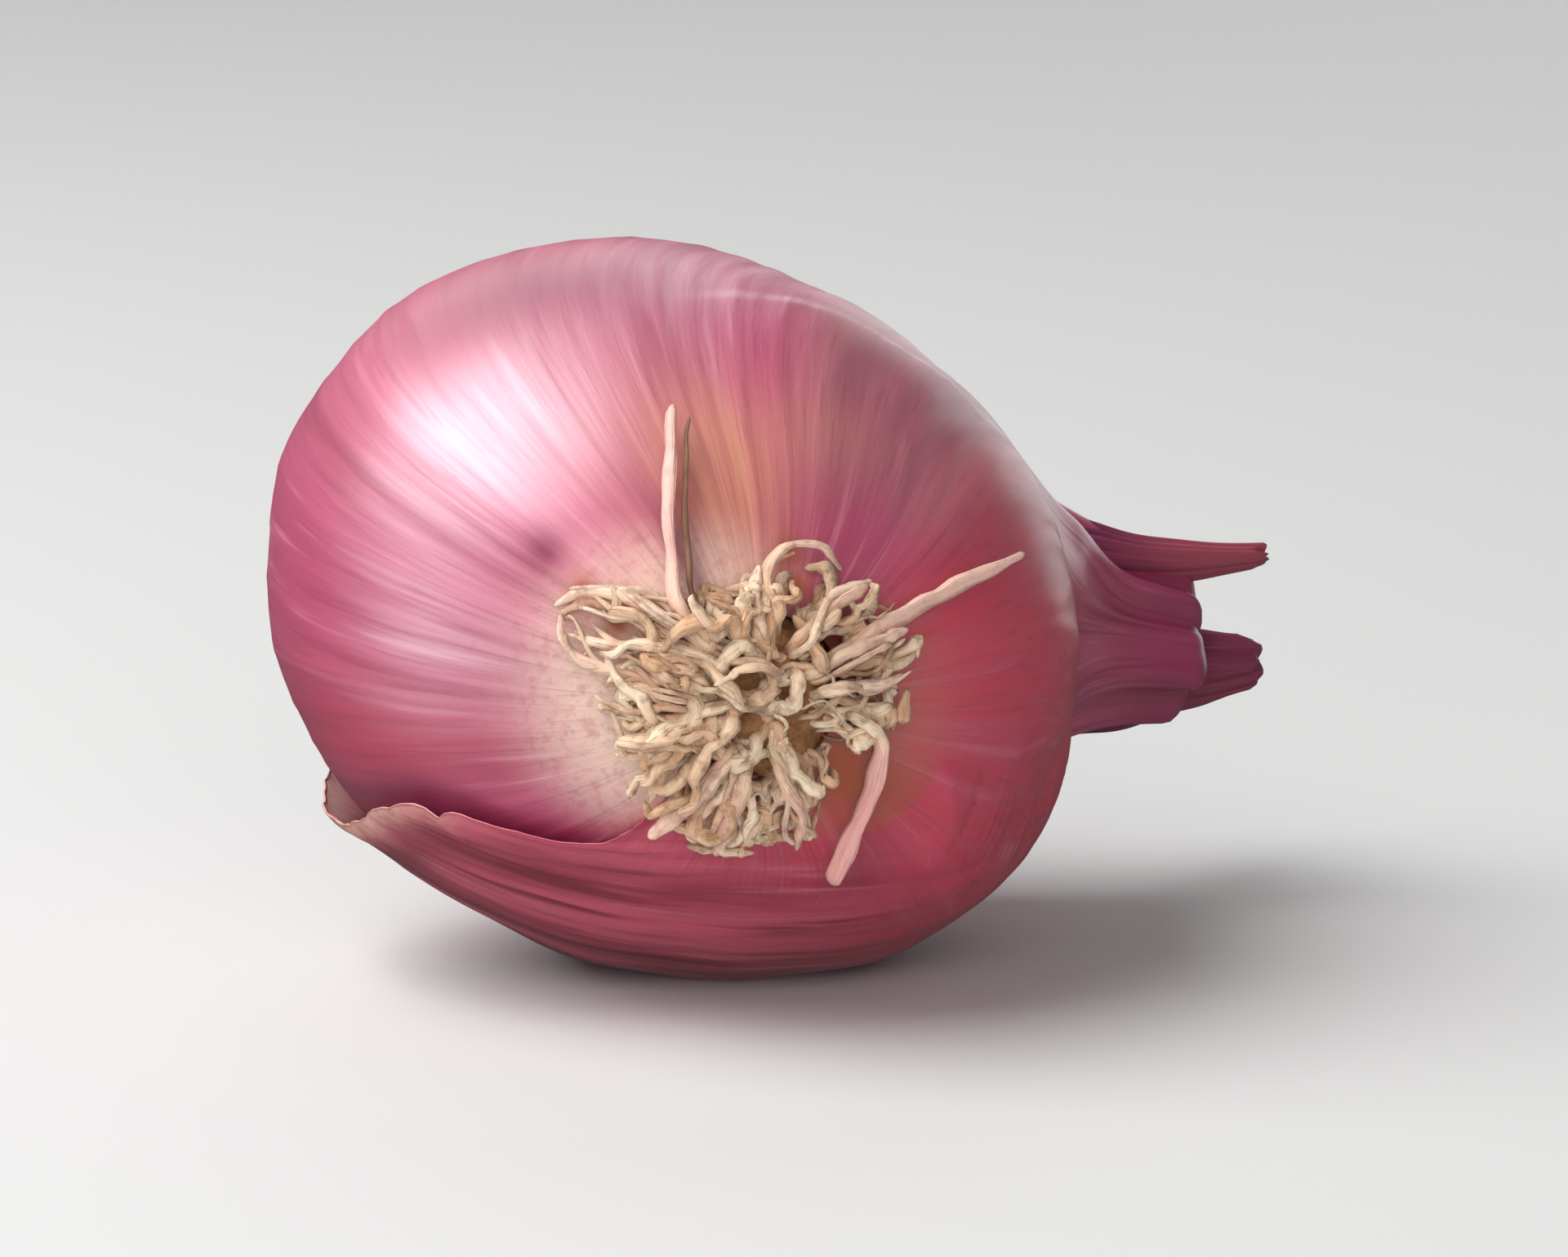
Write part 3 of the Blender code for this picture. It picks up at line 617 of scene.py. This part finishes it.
SHEET_FIRST, SHEET_LAST = 0.245, 1.80
SHEET_ROWS, SHEET_COLUMNS, SHEET_THICK, SHEET_SINK = 128, 280, 0.14, 0.16
LIP_ROW, LIP_HEIGHT = 0.92, 0.6
SHADE_PATCHES = ((0.5, 12.0, -150, 9.0, 30),)
ARC_FROM, ARC_TO = np.array((-23.0, 10.0, 21.0)), np.array((27.0, 17.0, 15.0))


def sheet_edges(row):
    """The angles of the free left edge and of the right edge at a row, in degrees."""
    left = -36 + 2.2 * np.sin(5.3 * row + 0.4) + 1.2 * np.sin(13 * row)
    left = left - 26 * smooth((0.68 - row) / 0.32) - 24 * smooth((row - 1.35) / 0.55)
    right = -179 + 1.6 * np.sin(6.1 * row + 2.0) + 0.8 * np.sin(17 * row)
    right = right - 8 * smooth((row - 1.1) / 0.6)
    return left, right


def ragged(rng, x, tears, depth):
    """A torn edge along x: small steps everywhere and a few deeper notches, never above 0."""
    total = np.zeros(x.shape)
    for rate, size in ((9, 0.5), (23, 0.35), (57, 0.25), (131, 0.12)):
        total += size * (np.sin(rate * x + rng.uniform(0, 6.3)) - 1)
    for _ in range(tears):
        at, wide = rng.uniform(x.min(), x.max()), rng.uniform(0.012, 0.03)
        total -= depth * rng.uniform(0.4, 1.0) * np.clip(1 - np.abs(x - at) / wide, 0, 1)
    return total


def build_sheet():
    rng = np.random.default_rng(23)
    rows, columns = SHEET_ROWS, SHEET_COLUMNS
    base = np.linspace(0, 1, rows)
    share = np.linspace(0, 1, columns)
    front = SHEET_FIRST + 0.012 - 0.014 * ragged(rng, share * 6, 5, 1.5) / 3
    row = front[None, :] + (SHEET_LAST - 0.01 - front[None, :]) * base[:, None]
    left, right = sheet_edges(row)
    left = left + ragged(rng, row[:, :1] * 1.6, 5, 5.0)
    right = right - ragged(rng, row[:, :1] * 1.6 + 7, 3, 3.0)
    across = share[None, :]
    v = np.radians(left + (right - left) * across)
    s = length_at(row)
    points = bulb_point(s, v)
    normals = outward(points)
    lift = LIP_HEIGHT * np.exp(-((row - LIP_ROW) / 0.20) ** 2) * smooth(1 - across * 12) ** 1.5
    lift = lift + 0.2 * smooth(1 - across * 20)
    hug = np.maximum(smooth(1 - base[:, None] / 0.12), smooth((base[:, None] - 0.84) / 0.16))
    hug = np.maximum(hug * smooth(across / 0.06 + 0.25), smooth((across - 0.76) / 0.22))
    axis = unit(ARC_TO - ARC_FROM)
    rel = points - ARC_FROM
    along = rel @ axis
    flat = unit(rel - along[..., None] * axis)
    first = unit(np.cross(axis, (0, 1.0, 0)))
    second = np.cross(axis, first)
    w = np.arctan2(flat @ second, flat @ first)
    crinkle = 0.035 * np.sin(46 * w + 2 * np.sin(along / 7))
    crinkle = crinkle + 0.025 * np.sin(83 * w + 1.7 + np.sin(along / 4))
    height = GAP + SKIN_THICK - 0.07 + lift + crinkle * (1 - 0.7 * base[:, None])
    height = height * (1 - hug) - SHEET_SINK * hug
    top = rest_on(points + normals * height[..., None], 0.0)
    under = rest_on(points + normals * (height - SHEET_THICK)[..., None], SHEET_THICK)
    count = rows * columns
    cloud = np.concatenate([under.reshape(-1, 3), top.reshape(-1, 3)])
    faces = grid_faces(rows, columns, False)
    faces = faces + [tuple(count + i for i in reversed(face)) for face in faces]
    rim = list(range(columns)) + [r * columns + columns - 1 for r in range(1, rows)]
    rim += [(rows - 1) * columns + c for c in range(columns - 2, -1, -1)]
    rim += [r * columns for r in range(rows - 2, 0, -1)]
    for here, after in zip(rim, rim[1:] + rim[:1]):
        faces.append((here, after, count + after, count + here))
    grain = np.stack([np.cos(w), np.sin(w), along], axis=-1).reshape(-1, 3)
    lip = smooth((row - 0.52) / 0.25) * smooth((1.30 - row) / 0.2)
    # The pale lip at the free left edge: partly a paler torn edge, partly painted light on the lifted lip
    edge = np.exp(-(across / 0.028) ** 2) * lip
    shade = smooth((row - 1.2) / 0.6) * 0.6 + patches(s, v, SHADE_PATCHES)
    shade = shade + 0.75 * np.exp(-((across - 0.066) / 0.026) ** 2) * lip
    edge, shade = np.clip(edge, 0, 1).ravel(), np.clip(shade, 0, 1).ravel()
    blend = np.maximum(hug, smooth((across - 0.55) / 0.25))
    blend = np.broadcast_to(blend, row.shape).ravel()
    below = np.stack([np.cos(v), np.sin(v), s], axis=-1).reshape(-1, 3)
    piece = add_mesh(
        "papery_skin", cloud, faces, dry_skin_material(), "dry_skin",
        grain=np.tile(grain, (2, 1)), along=np.tile(below, (2, 1)), spot=cloud,
        rim=np.tile(edge, 2), shade=np.tile(shade, 2), blend=np.tile(blend, 2),
    )
    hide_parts("outer_skin")


# The roots

ROOT_COUNT, THIN_COUNT, ROOT_STEPS, ROOT_SIDES = 165, 45, 30, 7
ROOT_START, GOLDEN_TURN = 3.9, math.pi * (3 - math.sqrt(5))
HOLE_RADIUS, HOLE_PUSH, EDGE_PULL = 1.15, 0.85, 0.6
# No root ends where the brown skin shows
BROWN_TURN, BROWN_HALF = math.radians(-36), math.radians(15)
# How far the tuft reaches from the middle of the plate, by angle
TUFT_EDGE = (
    (0, 30, 60, 88, 112, 135, 150, 166, 182, 205, 230, 250, 270, 287, 302, 324, 342, 360),
    (8.2, 9.2, 8.0, 6.4, 6.4, 9.5, 11.0, 11.0, 8.4, 7.4, 9.2, 8.8, 8.6, 8.8, 5.8, 5.0, 7.4, 8.2),
)


def clear_of_bulb(point, half):
    """Points moved outward until a root there clears the bulb and the dry outer skin."""
    rel = point - PLATE_CENTRE
    away = np.linalg.norm(rel - (rel @ IN)[..., None] * IN, axis=-1)
    low = smooth((2.0 - rel @ UP) / 3.0)
    need = 0.06 + half + (0.15 + 0.95 * low) * smooth((away - 4.8) / 1.4)
    for _ in range(4):
        short = np.maximum(need - distance(point), 0) * (away > 4.0)
        point = point + outward(point) * short[..., None]
    return point


def round_holes(point):
    """Points near a gap moved to its side."""
    for hole in HOLES:
        right, up = on_plate(point)
        x, y = right - hole[0], up - hole[1]
        away = np.maximum(np.hypot(x, y), 0.01)
        push = HOLE_PUSH * np.maximum(HOLE_RADIUS - away, 0) / away
        point = point + PLATE_RIGHT * (x * push)[:, None] + PLATE_UP * (y * push)[:, None]
    return point


def inside_edge(point, share):
    """Points beyond the edge of the tuft moved back to it."""
    right, up = on_plate(point)
    away = np.maximum(np.hypot(right, up), 0.01)
    edge = np.interp(np.degrees(np.arctan2(up, right)) % 360, *TUFT_EDGE) * share
    back = EDGE_PULL * np.maximum(away - edge, 0) / away
    return point - PLATE_RIGHT * (right * back)[:, None] - PLATE_UP * (up * back)[:, None]


def rotate(vectors, axis, angle):
    """Vectors turned round an axis by an angle."""
    angle = angle[..., None]
    dot = (vectors * axis).sum(-1, keepdims=True)
    turned_part = vectors * np.cos(angle) + np.cross(axis, vectors) * np.sin(angle)
    return turned_part + axis * dot * (1 - np.cos(angle))


def grow(rng, count, thin):
    """Middle lines of curly, kinked roots that start all over the basal plate, and their widths."""
    i = np.arange(count)
    share = np.sqrt((i + 0.6) / count)
    a = i * GOLDEN_TURN + rng.uniform(-0.25, 0.25, count)
    side = PLATE_RIGHT * np.cos(a)[:, None] + PLATE_UP * np.sin(a)[:, None]
    twist = -PLATE_RIGHT * np.sin(a)[:, None] + PLATE_UP * np.cos(a)[:, None]
    point = PLATE_CENTRE + side * (share * ROOT_START)[:, None] + ROOT_OUT * (0.9 - 0.55 * share)[:, None]
    tilt = np.radians(38 + 42 * share + rng.uniform(-14, 14, count))
    lean = rng.uniform(-1.0, 1.0, count) * np.where(share < 0.45, math.pi, 1.3 - share)
    lean = side * np.cos(lean)[:, None] + twist * np.sin(lean)[:, None]
    heading = ROOT_OUT * np.cos(tilt)[:, None] + lean * np.sin(tilt)[:, None]
    turn = rng.uniform(-0.8, 0.8, count) + (rng.random(count) < 0.35) * rng.choice((-1.5, 1.5), count)
    last = side * np.cos(turn)[:, None] + twist * np.sin(turn)[:, None]
    last = unit(last - ROOT_OUT * rng.uniform(0.1, 1.0, count)[:, None])
    length = rng.uniform(4.8, 10.0, count) * (0.92 + 0.14 * share)
    curl, rate = rng.uniform(0.3, 1.1, count), rng.uniform(3.0, 8.0, count)
    axis, phase = unit(rng.normal(size=(count, 3))), rng.uniform(0, 6.3, count)
    width = rng.uniform(0.26, 0.46, count) if thin else rng.uniform(0.62, 1.12, count)
    jerk = 0.55 if thin else 0.34
    top = rng.uniform(0.9, 3.4, count) + 0.8 * (share < 0.45)
    edge_share = rng.uniform(0.80, 1.03, count)
    drift = np.zeros((count, 3))
    line = [point]
    for k in range(ROOT_STEPS):
        t = (k + 0.5) / ROOT_STEPS
        along = unit(heading * (1 - t) + last * t)
        along = rotate(along, axis, curl * smooth(t * 4) * np.sin(phase + rate * t))
        if k % 3 == 0:
            drift = 0.62 * drift + rng.normal(size=(count, 3)) * jerk * smooth(t * 5)
        angle = np.linalg.norm(drift, axis=1)
        along = rotate(along, drift / np.maximum(angle, 1e-9)[:, None], angle)
        point = point + along * (length / ROOT_STEPS)[:, None]
        over = np.maximum(distance(point) - top, 0)
        point = round_holes(inside_edge(point - outward(point) * (0.6 * over)[:, None], edge_share))
        point = clear_of_bulb(point, width / 2)
        line.append(point)
    right, up = on_plate(point)
    towards = np.arctan2(up, right) - BROWN_TURN
    keep = np.abs((towards + math.pi) % (2 * math.pi) - math.pi) > BROWN_HALF
    return np.stack(line, axis=1)[keep], width[keep]


def fine_line(knots, steps):
    """A smooth line through the knots, with even steps."""
    knots = np.array(knots, float)
    knots = np.concatenate([[2 * knots[0] - knots[1]], knots, [2 * knots[-1] - knots[-2]]])
    out = []
    for t in np.linspace(0, len(knots) - 3 - 1e-9, steps + 1):
        i, f = int(t), t - int(t)
        p0, p1, p2, p3 = knots[i:i + 4]
        curve = 2 * p1 + (p2 - p0) * f + (2 * p0 - 5 * p1 + 4 * p2 - p3) * f * f
        out.append(0.5 * (curve + (3 * p1 - p0 - 3 * p2 + p3) * f ** 3))
    return np.array(out)


# Roots that are placed one by one, four of them long: angle of the start on the plate, places that they
# pass, widths at the start and the end, pinkness of the end (below 0 a deep brown root, partly a real root
# and partly painted shadow beside the long upright root), finer roots beside it
STRAYS = [
    (
        130,
        ((1.6, -20.9, 23.6), (0.6, -20.5, 26.0), (0.4, -18.9, 30.2), (0.5, -16.2, 34.4)),
        1.35, 1.25, 0.8, 0,
    ),
    (
        120,
        ((2.4, -20.9, 23.6), (1.5, -20.5, 26.0), (1.2, -18.9, 30.2), (1.4, -16.5, 34.0)),
        0.7, 0.45, -0.8, 0,
    ),
    (
        25,
        ((9.2, -20.0, 21.4), (13.0, -17.0, 23.3), (16.0, -14.3, 24.6), (19.6, -11.6, 25.7)),
        1.6, 0.75, 0.6, 0,
    ),
    (
        None,
        (
            (10.2, -19.5, 18.3), (11.4, -18.6, 17.3), (11.9, -17.9, 16.2), (11.4, -17.2, 13.6),
            (10.3, -16.3, 11.1), (9.3, -15.2, 8.6),
        ),
        1.15, 1.35, 1.0, 0,
    ),
    (
        150,
        (
            (2.4, -21.0, 22.2), (0.0, -21.2, 23.9), (-2.2, -20.9, 25.0), (-4.2, -20.2, 25.2),
            (-5.6, -19.4, 24.4),
        ),
        1.0, 0.75, 0.35, 4,
    ),
    (
        185,
        (
            (1.6, -21.0, 20.6), (-1.0, -21.2, 20.9), (-3.6, -20.6, 21.3), (-5.2, -19.8, 22.4),
            (-5.4, -19.3, 23.6),
        ),
        1.0, 0.8, 0.35, 4,
    ),
    (
        168,
        ((1.4, -21.2, 21.6), (-1.0, -21.6, 22.4), (-3.2, -20.9, 22.4), (-4.9, -19.8, 22.8)),
        1.0, 0.8, 0.2, 4,
    ),
    (
        158,
        (
            (1.9, -21.0, 22.0), (-0.4, -21.1, 23.0), (-2.0, -20.9, 24.1), (-3.9, -20.0, 24.6),
            (-5.2, -19.4, 23.9),
        ),
        0.9, 0.8, 0.2, 3,
    ),
    (182, ((0.8, -21.3, 20.2), (-1.7, -21.3, 20.9), (-3.6, -20.5, 21.0)), 0.95, 0.8, 0.2, 4),
    (197, ((0.6, -21.1, 19.0), (-1.4, -20.9, 18.8), (-2.9, -20.3, 19.3)), 1.0, 0.8, 0.2, 4),
    (208, ((1.1, -21.0, 17.6), (-0.6, -20.8, 16.7), (-2.2, -20.0, 16.9)), 0.95, 0.8, 0.2, 3),
    (
        80,
        (
            (6.0, -20.5, 24.6), (5.7, -20.0, 26.4), (6.9, -19.4, 27.6), (8.7, -18.7, 27.4),
            (9.6, -18.5, 26.2),
        ),
        0.75, 0.6, 0.3, 1,
    ),
    (235, ((3.4, -20.8, 16.0), (1.6, -20.6, 13.6), (-0.6, -19.4, 11.6)), 0.95, 0.9, 0.4, 1),
    (260, ((4.4, -20.7, 14.6), (3.6, -19.9, 12.2), (3.0, -18.9, 10.6)), 1.0, 1.0, 0.4, 1),
    (285, ((6.6, -20.4, 14.8), (7.6, -19.2, 12.6), (7.3, -18.2, 10.8)), 0.95, 0.8, 0.5, 1),
    (20, ((9.4, -20.4, 21.6), (11.6, -19.0, 22.2), (13.2, -17.8, 22.6)), 0.9, 0.8, 0.4, 1),
    (0, ((9.6, -20.5, 19.9), (11.8, -19.2, 19.9), (13.0, -18.2, 20.2)), 1.0, 0.7, 0.4, 1),
    (95, ((5.4, -21.0, 23.0), (5.0, -20.7, 25.0), (5.2, -20.0, 26.4)), 0.9, 0.7, 0.3, 1),
    (60, ((7.6, -20.8, 22.9), (9.4, -19.9, 24.4), (11.0, -18.8, 25.2)), 0.9, 0.7, 0.3, 1),
]


def stray_lines(rng):
    strands = []
    for degrees, places, w0, w1, pink, beside in STRAYS:
        start = []
        if degrees is not None:
            a = math.radians(degrees)
            side = PLATE_RIGHT * math.cos(a) + PLATE_UP * math.sin(a)
            start = [PLATE_CENTRE + side * 2.6 + ROOT_OUT * 0.5]
        line = fine_line([*start, *places], ROOT_STEPS)
        wobble = waves(rng, line, 2.4, 0.10)[:, None] * unit(rng.normal(size=3))
        strands.append((clear_of_bulb(line + wobble, np.array(w0 / 2)), w0, w1, pink))
        for _ in range(beside):
            moved = np.array(places) + rng.normal(size=(len(places), 3)) * 0.55
            line = fine_line([*start, *moved], ROOT_STEPS)[:rng.integers(20, 31)]
            line = clear_of_bulb(line, np.array(0.35))
            strands.append((line, rng.uniform(0.45, 0.85), rng.uniform(0.3, 0.6), 0.6 * pink))
    return strands


def strand(rng, line, w0, w1, pink):
    """A creased, flattened root round a middle line: its points, how many rings they make, its masks."""
    a = np.linspace(0, 2 * math.pi, ROOT_SIDES, endpoint=False)
    along = unit(np.gradient(line, axis=0))
    side = unit(np.cross(along[0], (0.3, 0.2, 1.0)))
    tone, phase = rng.uniform(0.05, 1.0), rng.uniform(0, 6.3, 4)
    flat, spin = rng.uniform(0.45, 0.85), rng.uniform(-3.0, 3.0)
    taper = 0.12 if pink > 0.5 else 0.35
    rings = []
    for k, middle in enumerate(line):
        side = unit(side - along[k] * side.dot(along[k]))
        other = np.cross(along[k], side)
        t = k / (len(line) - 1)
        half = (w0 + (w1 - w0) * t ** 1.3) * (1 - taper * smooth(t * 7 - 6)) / 2
        half = half * (1 + 0.13 * math.sin(17 * t + phase[0]) + 0.08 * math.sin(41 * t + phase[1]))
        crease = 1 + 0.15 * np.sin(3 * a + phase[3] + 4 * t)
        ring = side * np.cos(a + spin * t)[:, None] + other * (np.sin(a + spin * t) * flat)[:, None]
        rings.append(middle + ring * (half * crease)[:, None])
    tip = line[-1] + along[-1] * w1 * 0.3
    rings.append(tip + (rings[-1] - line[-1]) * 0.5)
    cloud = np.concatenate([*rings, [line[0], tip + along[-1] * w1 * 0.12]])
    t = np.append(np.repeat(np.linspace(0, 1, len(rings)), ROOT_SIDES), (0, 1))
    angle = np.append(np.tile(a, len(rings)), (0, 0))
    # Painted shade in the tuft: darker close to the bulb, near the starts and beside the gaps between roots,
    # and all along a root whose pinkness is below 0
    deep = smooth(1.15 - distance(cloud) / 1.6) * 0.9 * (1 - 0.75 * t) + 0.6 * smooth(0.6 - t * 4)
    deep = deep + 0.75 * near_holes(cloud, 0.9) * (pink == 0) + max(-pink, 0)
    masks = dict(
        tone=np.clip(tone + 0.2 * np.sin(7 * t + phase[2]) + 0.5 * pink, 0, 1),
        deep=np.clip(deep, 0, 1),
        blush=max(pink, 0) * smooth(t * 2.0 - 0.2),
        turn=np.stack([np.cos(angle), np.sin(angle), t * 10 + phase[0] * 3], axis=1),
    )
    return cloud, len(rings), masks


def build_roots():
    rng = np.random.default_rng(5)
    lines, widths = grow(rng, ROOT_COUNT, False)
    strands = [(line, w, w * 0.80, 0.0) for line, w in zip(lines, widths)]
    lines, widths = grow(rng, THIN_COUNT, True)
    strands += [(line, w, w * 0.5, 0.0) for line, w in zip(lines, widths)]
    strands += stray_lines(rng)
    clouds, faces, masks, total = [], [], [], 0
    for line, w0, w1, pink in strands:
        cloud, rings, mask = strand(rng, line, w0, w1, pink)
        faces += tube_faces(rings, ROOT_SIDES, total)
        clouds.append(cloud)
        masks.append(mask)
        total += len(cloud)
    cloud = np.concatenate(clouds)
    masks = {name: np.concatenate([mask[name] for mask in masks]) for name in masks[0]}
    piece = add_mesh("root_strands", cloud, faces, root_material(), "root_straw", grain=cloud, **masks)
    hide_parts("root_tuft")


PLATE_SIDES, PLATE_BACK, PLATE_FRONT = 72, 1.28, -1.6
# Depth into the bulb and radius of the plate, from its back edge to its front
PLATE_PROFILE = (
    (PLATE_BACK, 4.05), (0.3, 4.32), (-0.55, 4.2), (-1.15, 3.0), (-1.5, 1.4), (PLATE_FRONT, 0.25),
)


def build_plate():
    rng = np.random.default_rng(8)
    a = np.linspace(0, 2 * math.pi, PLATE_SIDES, endpoint=False)
    side = PLATE_RIGHT * np.cos(a)[:, None] + PLATE_UP * np.sin(a)[:, None]
    rings = [PLATE_CENTRE + IN * depth + side * wide for depth, wide in fine_line(PLATE_PROFILE, 30)]
    cloud = np.concatenate([*rings, [PLATE_CENTRE + IN * PLATE_BACK, PLATE_CENTRE + IN * PLATE_FRONT]])
    lump = waves(rng, cloud, 1.6, 0.16) * (np.abs((cloud - PLATE_CENTRE) @ IN - PLATE_BACK) > 0.05)
    cloud = cloud + unit(cloud - PLATE_CENTRE - IN * 1.0) * lump[:, None]
    faces = tube_faces(len(rings), PLATE_SIDES)
    add_mesh("basal_plate", cloud, faces, plate_material(), "root_straw", grain=cloud)


# Floor, light and camera

TARGET = Vector((0.0066, 0.0, 0.0196))
LENS, SENSOR, VIEW_WIDTH, VIEW_HEIGHT = 250, 36, 0.088, math.radians(10)
FLOOR_HALF = 4
WORLD_LIGHT = 0.08
# Name, direction from the shallot, distance, size, power, whether reflections show it
LIGHTS = (
    ("key", (-0.62, -0.06, 0.78), 0.60, (0.68, 0.54), 6.0, True),
    ("fill", (-0.08, -0.93, 0.30), 0.90, (0.90, 0.64), 5.2, False),
    ("back", (0.38, 0.92, 0.10), 0.80, (0.50, 0.30), 0.7, True),
    ("top", (-0.12, 0.82, 0.57), 0.80, (0.50, 0.40), 0.7, True),
)


def aim(thing, towards, far):
    """Puts a light or camera at a distance from the shallot and points it there."""
    thing.location = TARGET + towards * far
    thing.rotation_mode = "QUATERNION"
    thing.rotation_quaternion = towards.to_track_quat("Z", "Y")
    bpy.context.scene.collection.objects.link(thing)


def build_stage():
    mesh = bpy.data.meshes.new("floor")
    corners = [(x * FLOOR_HALF, y * FLOOR_HALF, 0) for x, y in ((-1, -1), (1, -1), (1, 1), (-1, 1))]
    mesh.from_pydata(corners, [], [(0, 1, 2, 3)])
    mesh.materials.append(floor_material())
    floor = bpy.data.objects.new("floor", mesh)
    bpy.context.scene.collection.objects.link(floor)
    floor.visible_glossy = False
    for name, direction, far, size, power, glossy in LIGHTS:
        light = bpy.data.lights.new(name, "AREA")
        light.shape = "RECTANGLE"
        light.size, light.size_y = size
        light.energy = power
        made = bpy.data.objects.new(name, light)
        made.visible_glossy = glossy
        aim(made, Vector(direction).normalized(), far)
    world = bpy.data.worlds.new("studio")
    world.use_nodes = True
    background = world.node_tree.nodes["Background"]
    background.inputs["Color"].default_value = (1, 1, 1, 1)
    background.inputs["Strength"].default_value = WORLD_LIGHT
    bpy.context.scene.world = world
    bpy.context.scene.view_settings.view_transform = "Standard"
    lens = bpy.data.cameras.new("camera")
    lens.lens, lens.clip_start, lens.clip_end = LENS, 0.01, 20
    camera = bpy.data.objects.new("camera", lens)
    aim(camera, Vector((0, -math.cos(VIEW_HEIGHT), math.sin(VIEW_HEIGHT))), VIEW_WIDTH * LENS / SENSOR)
    bpy.context.scene.camera = camera


build_stage()
build_bulb()
LEAF_SURFACE = neck_leaf_material()
for index, leaf in enumerate(LEAVES):
    build_leaf(index, *leaf, LEAF_SURFACE)
build_sheet()
build_roots()
build_plate()
